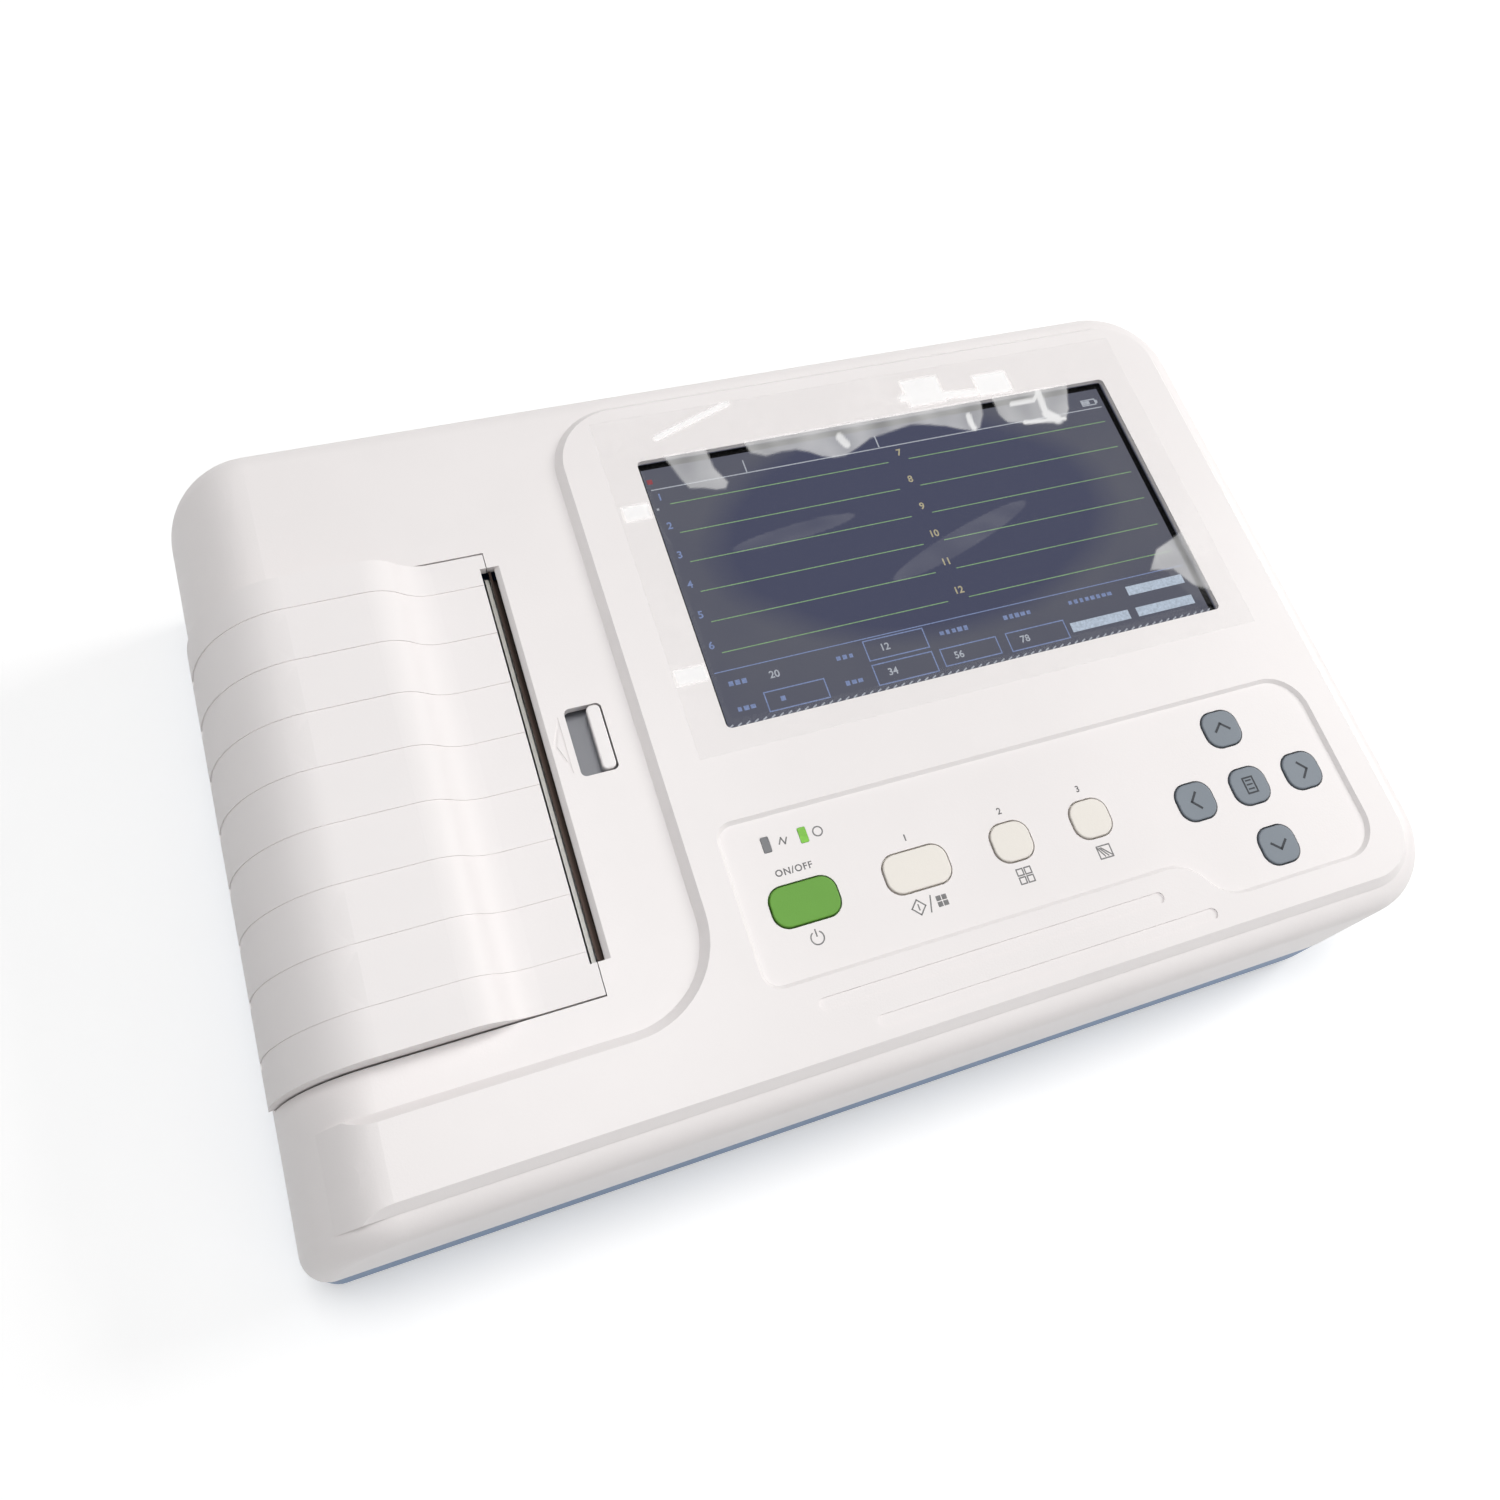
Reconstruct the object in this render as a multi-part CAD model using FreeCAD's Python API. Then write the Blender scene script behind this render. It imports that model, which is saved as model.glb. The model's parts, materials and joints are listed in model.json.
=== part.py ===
import FreeCAD, Part
import math
import os
from FreeCAD import Vector

# Desktop electrocardiograph: wedge case, display, keys and a strip printer under a hinged door.
# Millimetres. +Z up, +X right, +Y back, origin on the table under the middle of the case.
# The deck frame (u, v, w) is the tilted top: u along X, v up the slope, w square to the deck.

# Case
case_width = 316.7
case_depth = 209.6
deck_height = 64.0
deck_tilt = 4.5
wall = 2.5
part_line = 18.0
foot_height = 2.0
floor_thick = 3.0
corner_right = 24.0
edge_round = 7.0
flank_run = 28.0
flank_drop = 42.0
tray_inset = 0.1
tray_round = 2.5
lip_height = 2.5
lip_thick = 1.2
lip_gap = 0.3
lip_root = 4.0

# Raised display and key area
printer_width = 109.35
pod_step = 2.5
pod_slope = 2.3
pod_rim_back = 7.8
pod_rim_right = 7.05
pod_rim_front = 5.0
pod_arm_depth = 22.1
pod_fade_in = 3.5
pod_fade_drop = 37.0
pod_round_back = 20.0
pod_round_inner = 22.0
pod_round_right = 17.0

# Display
window_inset = 22.7
window_rim_back = 21.5
window_width = 154.6
window_depth = 85.7
window_round = 1.5
glass_margin = 5.7
glass_thick = 1.1
glass_depth = 2.0
gasket_thick = 0.5
gasket_reveal = 0.8
panel_margin = 3.7
panel_thick = 5.5
bracket_thick = 1.2
film_over_left = 9.7
film_over_front = 6.6
film_width = 173.0
film_depth = 107.5
film_thick = 0.15

# Keys: rows measured in from the front edge, columns from the raised area's left edge
key_recess_depth = 1.0
recess_inset = 10.5
recess_rim_right = 11.3
recess_row_front = 14.4
recess_row_step = 26.2
recess_row_back = 70.2
recess_round_left = 5.0
recess_round_right = 11.0
key_row = 45.3
power_column = 27.4
start_column = 58.4
mode_column = 86.0
print_column = 110.0
wide_key = (17.8, 10.4)
small_key = (11.0, 10.4)
key_round = 3.9
key_gap = 0.45
key_rise = 0.5
key_travel = 1.2
key_flange = 1.0
nav_row = 41.7
nav_rim_right = 47.85
nav_pitch = 17.75
lamp_row = 62.0
mains_column = 22.6
charge_column = 32.7
lamp_size = (2.1, 4.1)
lamp_round = 0.3
bar_width = 3.0
bar_depth = 0.4
bar_length = 98.0
mat_thick = 1.0
board_thick = 1.6
key_board_drop = 5.0

# Paper door
door_width = 83.6
door_over_front = 9.35
door_over_back = 5.65
door_gap = 0.45
door_skin = 2.5
door_end = 2.0
door_rise = 8.0
rise_in = 14.75
rise_run = 17.0
door_flank_in = 31.85
door_flank_run = 31.0
door_flank_drop = 40.0
hinge_w = -32.0
barrel_radius = 4.0
knuckle_radius = 5.5
knuckle_front = 5.3
knuckle_back = 4.7
hinge_clear = 9.0
swing_gap = 0.4
pin_radius = 1.5
pin_over = 0.3
slot_half = 1.9
slot_over = 0.85
slot_bevel = 1.4
groove_count = 8
groove_margin = 10.7
groove_width = 2.0
groove_depth = 0.3

# Strip printer
paper_width = 110.0
paper_middle = -3.3
platen_radius = 6.0
shaft_radius = 2.0
bush_radius = 3.5
ear_radius = 5.0
ear_thick = 1.9
roll_radius = 24.0
roll_in = 39.35
roll_w = -24.0
spindle_radius = 6.0
journal_radius = 3.0
core_wall = 2.0
nip_gap = 0.3
gear_module = 0.5
platen_teeth = 24
idler_teeth = 36
pinion_teeth = 17
gear_width = 3.0
backlash = 0.1
drive_angle = -60.0
idler_pin_radius = 1.5
motor_shaft_radius = 1.0
motor_radius = 12.0
motor_length = 20.0
chassis_wall = 2.0
head_in = 1.05
head_thick = 1.0
sink_thick = 4.0
beam_thick = 2.5
head_travel = 2.3
fin_pitch = 4.0
blade_thick = 0.6

# Latch
latch_in = 8.85
latch_width = 9.9
latch_length = 19.3
latch_offset = 0.35
latch_travel = 4.0
knob_width = 3.9
knob_rise = 0.5
knob_gap = 0.5
latch_round = 1.5
plate_thick = 1.5
plate_drop = 2.2
slide_gap = 0.3
rail_thick = 1.9
yoke_width = 5.0
yoke_arm = 2.1
hook_in = 4.8
nose_height = 1.7
spring_length = 11.7
spring_radius = 1.2
spring_wire = 0.4

# Sockets
bay_depth = 11.0
bay_left = 22.0
bay_right = 118.0
bay_low = 24.0
bay_high = 46.0
bay_round = 2.5
inlet_half = (13.9, 10.1)
inlet_mouth = (12.2, 8.4)
inlet_depth = 22.0
stud_radius = 3.0
stud_thread = 2.5
usb_half = (7.2, 3.7)
usb_mouth = (6.4, 2.9)
lead_pocket = 6.0
lead_pocket_half = (23.0, 9.0)
lead_v = -8.8
lead_z = 33.0
lead_half = (12.4, 4.1)
lead_pin_pitch = 2.76
lead_body = 9.0
post_pitch = 33.3
post_thread = 1.5

# Inside the tray
battery = (69.0, 127.0, -88.0, -22.0)
battery_height = 20.0
cover_margin = 9.0
cover_lip = 3.0
cover_thick = 2.0
main_board = (-45.0, 55.0, -86.0, 20.0, 11.0)
supply_board = (62.0, 140.0, 22.0, 68.0, 9.0)
foot_radius = 7.0
foot_seat = 1.0
speaker_x = 6.0
speaker_y = 62.0
speaker_radius = 18.0
speaker_slots = 5
slot_pitch = 5.0

# Screws: shank radius, head radius, head height
board_screw = (1.25, 2.4, 1.6)
case_screw = (1.5, 3.0, 2.5)
chassis_screw = (1.5, 2.8, 1.6)
motor_screw = (1.0, 1.8, 1.2)
cover_screw = (1.25, 2.5, 1.0)
board_screw_length = 5.2
boss_radius = 3.3
case_boss = 4.0
screw_recess = 5.0

# Fits
run_fit = 0.06
press_fit = 0.02
seat_fit = 0.3
screw_fit = 0.1

left = -case_width / 2
right = case_width / 2
front = -case_depth / 2
back = case_depth / 2
tray_floor = foot_height + floor_thick
flank_u = left + flank_run
pod_left = left + printer_width
pod_right = right - pod_rim_right
pod_back = back - pod_rim_back
pod_front = front + pod_rim_front
pod_arm_back = pod_front + pod_arm_depth
pod_under = pod_step - wall
window_left = pod_left + window_inset
window_right = window_left + window_width
window_back = pod_back - window_rim_back
window_front = window_back - window_depth
film_left = window_left - film_over_left
film_front = window_front - film_over_front
key_floor = pod_step - key_recess_depth
recess_left = pod_left + recess_inset
recess_right = pod_right - recess_rim_right
recess_front = front + recess_row_front
recess_step = front + recess_row_step
recess_back = front + recess_row_back
nav_u = right - nav_rim_right
lamp_v = front + lamp_row
paper_front = paper_middle - paper_width / 2
paper_back = paper_middle + paper_width / 2
slot_front = paper_front - slot_over
slot_back = paper_back + slot_over
door_right = left + door_width
door_front = paper_front - door_over_front
door_back = paper_back + door_over_back
rise_start = door_right - rise_in
door_flank_u = left + door_flank_in
hinge_u = door_flank_u - door_flank_run + barrel_radius
platen_u = door_right - head_in - nip_gap - platen_radius
platen_tip = gear_module * (platen_teeth / 2 + 1)
platen_w = -door_skin - max(platen_radius + 1, platen_tip + 0.5)
roll_u = left + roll_in
chassis_floor = roll_w - roll_radius - 2 * chassis_wall
gear_front = slot_front - ear_thick - gear_width - swing_gap
latch_left = door_right + latch_in
latch_right = latch_left + latch_width
latch_middle = paper_middle + latch_offset
latch_front = latch_middle - latch_length / 2
latch_back = latch_middle + latch_length / 2
inlet_x = bay_left + 24.0
stud_x = bay_left + 56.0
usb_x = bay_left + 78.0
bay_z = (bay_low + bay_high) / 2
bay_floor = back - bay_depth
lead_floor = right - lead_pocket
lead_post_places = (lead_v - post_pitch / 2, lead_v + post_pitch / 2)
DECK = FreeCAD.Placement(Vector(0, 0, deck_height), FreeCAD.Rotation(Vector(1, 0, 0), deck_tilt))


def deck(shape):
    placed = shape.copy()
    placed.Placement = DECK.multiply(shape.Placement)
    return placed


def box(x0, x1, y0, y1, z0, z1):
    return Part.makeBox(x1 - x0, y1 - y0, z1 - z0, Vector(x0, y0, z0))


def slab(x0, x1, y0, y1, z0, z1, radius):
    plain = box(x0, x1, y0, y1, z0, z1)
    uprights = [e for e in plain.Edges if abs(e.tangentAt(e.FirstParameter).z) > 0.99]
    return plain.makeFillet(radius, uprights)


def post(x, y, z0, z1, radius):
    return Part.makeCylinder(radius, z1 - z0, Vector(x, y, z0), Vector(0, 0, 1))


def rod(u, w, v0, v1, radius):
    return Part.makeCylinder(radius, v1 - v0, Vector(u, v0, w), Vector(0, 1, 0))


def ring(u, w, v0, v1, outer, inner):
    return rod(u, w, v0, v1, outer).cut(rod(u, w, v0, v1, inner))


def fuse(first, *others):
    return first.fuse(list(others)).removeSplitter()


def cut(first, *others):
    return first.cut(list(others))


def write(name, *solids):
    shape = solids[0] if len(solids) == 1 else Part.makeCompound(list(solids))
    shape.exportStep("parts/" + name + ".step")


def on_plane(edge, axis, value):
    return all(abs(getattr(v.Point, axis) - value) < 1e-4 for v in edge.Vertexes)


def line(a, b):
    return Part.LineSegment(a, b).toShape()


def arc(centre, radius, start, end):
    # circular edge in the u-v plane between two angles in degrees, by way of their middle
    points = []
    for degrees in (start, (start + end) / 2, end):
        turn = math.radians(degrees)
        points.append(centre + Vector(radius * math.cos(turn), radius * math.sin(turn), 0))
    return Part.Arc(*points).toShape()


def quarter_ellipse(u, w, run, drop):
    # from the crown (u, w + drop) to the left-hand end (u - run, w)
    centre = Vector(u, 0, w)
    crown = centre + Vector(0, 0, drop)
    side = centre - Vector(run, 0, 0)
    if drop > run:
        curve = Part.Ellipse(crown, side, centre)
        return Part.ArcOfEllipse(curve, 0, math.pi / 2).toShape()
    curve = Part.Ellipse(side, crown, centre)
    return Part.ArcOfEllipse(curve, 0, math.pi / 2).toShape()


def extrude_profile(edges, v0, v1):
    face = Part.Face(Part.Wire(Part.__sortEdges__(edges)))
    face.translate(Vector(0, v0, 0))
    return face.extrude(Vector(0, v1 - v0, 0))


# Case forms

def flank_solid(inset, rise, run):
    # everything under the deck and its left-hand flank, drawn in by inset
    top = rise - inset
    low = -2 * deck_height
    side = flank_u - run + inset
    edge = right - inset
    crown = Vector(flank_u, 0, top)
    edges = [
        quarter_ellipse(flank_u, -flank_drop, run - inset, flank_drop + top),
        line(Vector(side, 0, -flank_drop), Vector(side, 0, low)),
        line(Vector(side, 0, low), Vector(edge, 0, low)),
        line(Vector(edge, 0, low), Vector(edge, 0, top)),
        line(Vector(edge, 0, top), crown),
    ]
    return deck(extrude_profile(edges, -case_depth, case_depth))


def is_side(face):
    u0, u1, v0, v1 = face.ParameterRange
    normal = face.normalAt((u0 + u1) / 2, (v0 + v1) / 2)
    return abs(normal.z) < 1e-3 and normal.x > -0.99


def case_form(inset, bottom):
    limits = box(2 * left, 2 * right, front + inset, back - inset, bottom, 3 * deck_height)
    form = flank_solid(inset, 0, flank_run).common(limits)
    uprights = [e for e in form.Edges if on_plane(e, "x", right - inset) and e.Length > 1
                and abs(e.tangentAt(e.FirstParameter).z) > 0.99]
    form = form.makeFillet(corner_right - inset, uprights)
    others = [f for f in form.Faces if not is_side(f) and not all(on_plane(e, "z", bottom) for e in f.Edges)]
    rim = []
    for side in [f for f in form.Faces if is_side(f)]:
        for edge in side.Edges:
            if any(edge.isSame(e) for f in others for e in f.Edges):
                rim.append(edge)
    return form.makeFillet(edge_round - inset, rim)


def pod_wire(inset):
    # outline of the raised area at deck level, drawn in by inset
    u0 = pod_left + inset
    u1 = pod_right - inset
    v0 = pod_front + inset
    v1 = pod_back - inset
    v_arm = pod_arm_back - inset
    far = 1.1 * left
    r_back = pod_round_back - inset
    r_in = pod_round_inner + inset
    r_right = pod_round_right - inset
    inner = Vector(u0 - r_in, v_arm + r_in, 0)
    return Part.Wire([
        line(Vector(u1 - r_right, v1, 0), Vector(u0 + r_back, v1, 0)),
        arc(Vector(u0 + r_back, v1 - r_back, 0), r_back, 90, 180),
        line(Vector(u0, v1 - r_back, 0), Vector(u0, inner.y, 0)),
        arc(inner, r_in, 0, -90),
        line(Vector(inner.x, v_arm, 0), Vector(far, v_arm, 0)),
        line(Vector(far, v_arm, 0), Vector(far, v0, 0)),
        line(Vector(far, v0, 0), Vector(u1 - r_right, v0, 0)),
        arc(Vector(u1 - r_right, v0 + r_right, 0), r_right, -90, 0),
        line(Vector(u1, v0 + r_right, 0), Vector(u1, v1 - r_right, 0)),
        arc(Vector(u1 - r_right, v1 - r_right, 0), r_right, 0, 90),
    ])


def pod_form(inset):
    # raised area with a sloped edge, fading out on the left-hand flank
    face = Part.Face(pod_wire(inset))
    face.translate(Vector(0, 0, -pod_fade_drop))
    prism = face.extrude(Vector(0, 0, pod_fade_drop + pod_step - inset))
    top = [e for e in prism.Edges if on_plane(e, "z", pod_step - inset) and e.BoundBox.XMin > left]
    top += [e for e in prism.Edges if on_plane(e, "z", pod_step - inset) and e.BoundBox.XMin < left
            and e.BoundBox.XLength > 1]
    prism = deck(prism.makeChamfer(pod_slope, top))
    return prism.common(flank_solid(inset, pod_step, flank_run - pod_fade_in))


def key_recess():
    # shallow tray round the keys: its front edge steps down ahead of the navigation keys
    u0, u1 = recess_left, recess_right
    v0, v_step, v1 = recess_front, recess_step, recess_back
    r_small, r_big = recess_round_left, recess_round_right
    step_u = nav_u - 2 * nav_pitch
    step_r = r_big
    rise = v_step - v0
    turn = math.degrees(math.acos(1 - rise / (2 * step_r)))
    run = 2 * step_r * math.sin(math.radians(turn))
    wire = Part.Wire([
        line(Vector(u1 - r_big, v1, 0), Vector(u0 + r_small, v1, 0)),
        arc(Vector(u0 + r_small, v1 - r_small, 0), r_small, 90, 180),
        line(Vector(u0, v1 - r_small, 0), Vector(u0, v_step + r_small, 0)),
        arc(Vector(u0 + r_small, v_step + r_small, 0), r_small, 180, 270),
        line(Vector(u0 + r_small, v_step, 0), Vector(step_u, v_step, 0)),
        arc(Vector(step_u, v_step - step_r, 0), step_r, 90, 90 - turn),
        arc(Vector(step_u + run, v0 + step_r, 0), step_r, 270 - turn, 270),
        line(Vector(step_u + run, v0, 0), Vector(u1 - r_big, v0, 0)),
        arc(Vector(u1 - r_big, v0 + r_big, 0), r_big, -90, 0),
        line(Vector(u1, v0 + r_big, 0), Vector(u1, v1 - r_big, 0)),
        arc(Vector(u1 - r_big, v1 - r_big, 0), r_big, 0, 90),
    ])
    face = Part.Face(wire)
    face.translate(Vector(0, 0, key_floor))
    prism = face.extrude(Vector(0, 0, 2 * key_recess_depth))
    floor_edges = [e for e in prism.Edges if on_plane(e, "z", key_floor)]
    return prism.makeChamfer(key_recess_depth * 0.95, floor_edges)


# Keys: name, place on the deck, size
keys = []
for name, column, size in (("power_key", power_column, wide_key), ("start_key", start_column, wide_key),
                           ("mode_key", mode_column, small_key), ("print_key", print_column, small_key)):
    keys.append((name, pod_left + column, front + key_row, size))
for name, i, j in (("left_key", -1, 0), ("right_key", 1, 0), ("up_key", 0, 1), ("down_key", 0, -1),
                   ("menu_key", 0, 0)):
    keys.append((name, nav_u + i * nav_pitch, front + nav_row + j * nav_pitch, small_key))
lamps = [("mains_lens", pod_left + mains_column), ("charge_lens", pod_left + charge_column)]
key_seat = pod_under - seat_fit
mat_top = pod_under - key_board_drop + mat_thick
board_top = mat_top - mat_thick


def key_slab(u, v, size, grow, w0, w1):
    half_u = size[0] / 2 + grow
    half_v = size[1] / 2 + grow
    return slab(u - half_u, u + half_u, v - half_v, v + half_v, w0, w1, key_round + grow)


def make_key(u, v, size):
    cap = key_slab(u, v, size, 0, key_seat - key_flange, key_floor + key_rise)
    top = [e for e in cap.Edges if on_plane(e, "z", key_floor + key_rise)]
    cap = cap.makeFillet(key_rise * 0.7, top)
    return fuse(cap, key_slab(u, v, size, key_flange, key_seat - key_flange, key_seat))


def lamp_slab(u, grow, w0, w1):
    half_u = lamp_size[0] / 2 + grow
    half_v = lamp_size[1] / 2 + grow
    return slab(u - half_u, u + half_u, lamp_v - half_v, lamp_v + half_v, w0, w1, lamp_round + grow)


def make_lamp(u):
    stem = lamp_slab(u, 0, board_top + seat_fit, key_floor + 0.1)
    return fuse(stem, lamp_slab(u, key_flange, key_seat - key_flange, key_seat))


# Paper door

def door_edges(inset):
    # door profile drawn in by inset, from its free edge to the hinge side
    radius = (rise_run ** 2 + door_rise ** 2) / (4 * door_rise)
    turn = math.asin(rise_run / 2 / radius)
    rise_end = rise_start - rise_run
    foot = radius + inset
    low = Vector(rise_start, 0, -inset)
    mid = Vector(rise_start - foot * math.sin(turn), 0, radius - foot * math.cos(turn))
    high = Vector(rise_end, 0, door_rise - inset)
    crest = radius - inset
    foot_mid = Vector(rise_start - foot * math.sin(turn / 2), 0, radius - foot * math.cos(turn / 2))
    crest_mid = Vector(rise_end + crest * math.sin(turn / 2), 0,
                       door_rise - radius + crest * math.cos(turn / 2))
    crown = Vector(door_flank_u, 0, door_rise - inset)
    drop = door_flank_drop - inset
    return [
        line(Vector(door_right + slot_half, 0, -inset), low),
        Part.Arc(low, foot_mid, mid).toShape(),
        Part.Arc(mid, crest_mid, high).toShape(),
        line(high, crown),
        quarter_ellipse(door_flank_u, door_rise - door_flank_drop, door_flank_run - inset, drop),
    ]


def door_solid(inset, v0, v1):
    edges = door_edges(inset)
    free = Vector(door_right + slot_half, 0, -inset)
    side = Vector(door_flank_u - door_flank_run + inset, 0, door_rise - door_flank_drop)
    low = hinge_w - 3 * barrel_radius
    edges += [
        line(side, Vector(side.x, 0, low)),
        line(Vector(side.x, 0, low), Vector(free.x, 0, low)),
        line(Vector(free.x, 0, low), free),
    ]
    return extrude_profile(edges, v0, v1)


door_v0 = door_front + door_gap
door_v1 = door_back - door_gap
barrel_v0 = door_v0 + knuckle_front
barrel_v1 = door_v1 - knuckle_back
ear_front = slot_front - ear_thick
ear_back = slot_back
hook_u = door_right - hook_in
hook_w = -wall - plate_drop - 2 * plate_thick - swing_gap - nose_height


def hinge_zone(radius, v0, v1):
    return rod(hinge_u, hinge_w, v0, v1, radius)


def make_door():
    shell = door_solid(0, door_v0, door_v1).cut(door_solid(door_skin, door_v0 - 1, door_v1 + 1))
    shell = shell.cut(box(2 * left, right, 2 * front, 2 * back, -3 * deck_height, hinge_w))
    ends = []
    under = -door_skin - 0.1
    for v0 in (door_v0, door_v1 - door_end):
        v1 = v0 + door_end
        plate = door_solid(0, v0, v1)
        low = box(2 * left, right, v0 - 1, v1 + 1, -3 * deck_height, under)
        inner = low.common(door_solid(3 * door_skin, v0 - 1, v1 + 1))
        plate = plate.cut(inner).cut(box(2 * left, right, 2 * front, 2 * back, -3 * deck_height, hinge_w))
        plate = plate.cut(box(door_flank_u, right, v0 - 1, v1 + 1, -3 * deck_height, under))
        hook = box(hook_u - 1, hook_u + 1, v0, v1, hook_w, -door_skin)
        nose = box(hook_u - 3.2, hook_u - 1, v0, v1, hook_w, hook_w + nose_height)
        ends += [plate, hook, nose]
    door = fuse(shell, *ends)
    # swing clearance round the hinge outside the barrel
    swing = hinge_clear + swing_gap
    door = cut(door, hinge_zone(swing, door_v0 - 1, barrel_v0), hinge_zone(swing, barrel_v1, door_v1 + 1))
    # free edge: square to the case except along the paper slot
    trim = box(door_right - door_gap / 2, right, 2 * front, 2 * back, -deck_height, deck_height)
    slot = box(door_right - slot_half, right, slot_front, slot_back, -deck_height, deck_height)
    door = cut(door, trim, slot)
    barrel = rod(hinge_u, hinge_w, barrel_v0, barrel_v1, barrel_radius)
    web = box(hinge_u - barrel_radius, hinge_u, barrel_v0, barrel_v1, hinge_w, hinge_w + 1.5 * barrel_radius)
    web = web.common(door_solid(0, barrel_v0, barrel_v1))
    ears = []
    for v0 in (ear_front, ear_back):
        v1 = v0 + ear_thick
        lug = box(platen_u - ear_radius, platen_u + ear_radius - 0.5, v0, v1, platen_w, -door_skin / 2)
        ears += [lug, rod(platen_u, platen_w, v0, v1, ear_radius)]
    door = fuse(door, barrel, web, *ears)
    door = door.cut(rod(hinge_u, hinge_w, door_v0, door_v1, pin_radius + run_fit))
    door = door.cut(rod(platen_u, platen_w, ear_front - 1, ear_back + ear_thick + 1, bush_radius + press_fit))
    pitch = (door_back - door_front - 2 * groove_margin) / (groove_count - 1)
    grooves = []
    for i in range(groove_count):
        v = door_front + groove_margin + i * pitch
        strip = door_solid(-1, v - groove_width / 2, v + groove_width / 2)
        strip = strip.cut(door_solid(groove_depth, v - groove_width, v + groove_width))
        grooves.append(strip.cut(box(2 * left, right, 2 * front, 2 * back, -deck_height, hinge_w + 12)))
    return cut(door, *grooves)


# Gears

def gear(teeth, bore, u, w, phase):
    # involute spur gear about a line along v, with a tooth at angle phase in the u-w plane
    pressure = math.radians(20)
    pitch = gear_module * teeth / 2
    base = pitch * math.cos(pressure)
    tip = pitch + gear_module
    root = pitch - 1.25 * gear_module
    thick = (math.pi * gear_module / 2 - backlash) / 2 / pitch
    spread = thick + math.tan(pressure) - pressure

    def flank(radius):
        bend = math.acos(min(1, base / radius))
        return spread - (math.tan(bend) - bend)

    def polar(radius, angle):
        return Vector(radius * math.cos(angle), radius * math.sin(angle), 0)

    start = max(root, base)
    radii = [start + (tip - start) * i / 3 for i in range(4)]
    edges = []
    step = 2 * math.pi / teeth
    for k in range(teeth):
        mid = phase + k * step
        rise = [polar(r, mid - flank(r)) for r in radii]
        fall = [polar(r, mid + flank(r)) for r in reversed(radii)]
        foot_a = polar(root, mid - flank(start))
        foot_b = polar(root, mid + flank(start))
        next_foot = polar(root, mid + step - flank(start))
        curve_a = Part.BSplineCurve()
        curve_a.interpolate(rise)
        curve_b = Part.BSplineCurve()
        curve_b.interpolate(fall)
        if base > root + 1e-6:
            edges += [line(foot_a, rise[0]), line(fall[-1], foot_b)]
        edges += [curve_a.toShape(), line(rise[-1], fall[0]), curve_b.toShape(), line(foot_b, next_foot)]
    outline = Part.Face(Part.Wire(Part.__sortEdges__(edges)))
    blank = outline.extrude(Vector(0, 0, gear_width))
    blank = blank.cut(Part.makeCylinder(bore, 3 * gear_width, Vector(0, 0, -gear_width)))
    blank.rotate(Vector(0, 0, 0), Vector(1, 0, 0), 90)
    blank.translate(Vector(u, gear_front + gear_width, w))
    return blank


swing = math.atan2(platen_w - hinge_w, platen_u - hinge_u)
mesh_angle = swing - math.pi / 2
idler_reach = gear_module * (platen_teeth + idler_teeth) / 2
idler_u = platen_u + idler_reach * math.cos(mesh_angle)
idler_w = platen_w + idler_reach * math.sin(mesh_angle)
drive = math.radians(drive_angle)
pinion_reach = gear_module * (idler_teeth + pinion_teeth) / 2
pinion_u = idler_u + pinion_reach * math.cos(drive)
pinion_w = idler_w + pinion_reach * math.sin(drive)
idler_phase = mesh_angle + math.pi + math.pi / idler_teeth
offset = (idler_phase - drive) * idler_teeth / pinion_teeth
pinion_phase = drive + math.pi - offset + math.pi / pinion_teeth
gear_back = gear_front + gear_width
rib_front = gear_back + swing_gap
rib_back = rib_front + chassis_wall

# Print head stack, from the platen to the right
head_u = platen_u + platen_radius + nip_gap
sink_u = head_u + head_thick
sink_back = sink_u + sink_thick
beam_u = sink_back + head_travel
beam_back = beam_u + beam_thick
head_top = platen_w + 4.5
head_low = platen_w - 7.5
sink_top = head_top - 2.0
sink_low = head_low - 2.0
beam_top = sink_top - 1.0
beam_low = sink_low - 1.0

# Paper compartment
wall_front = paper_front - 6.3
wall_back = paper_back + 1.1
wall_end = wall_back + chassis_wall
comp_left = roll_u - roll_radius - 4.0
comp_right = roll_u + roll_radius + 3.0
chassis_right = motor_radius + pinion_u + 1.5
deck_clear = -4.0
motor_pilot = 0.3 * motor_radius


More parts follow.
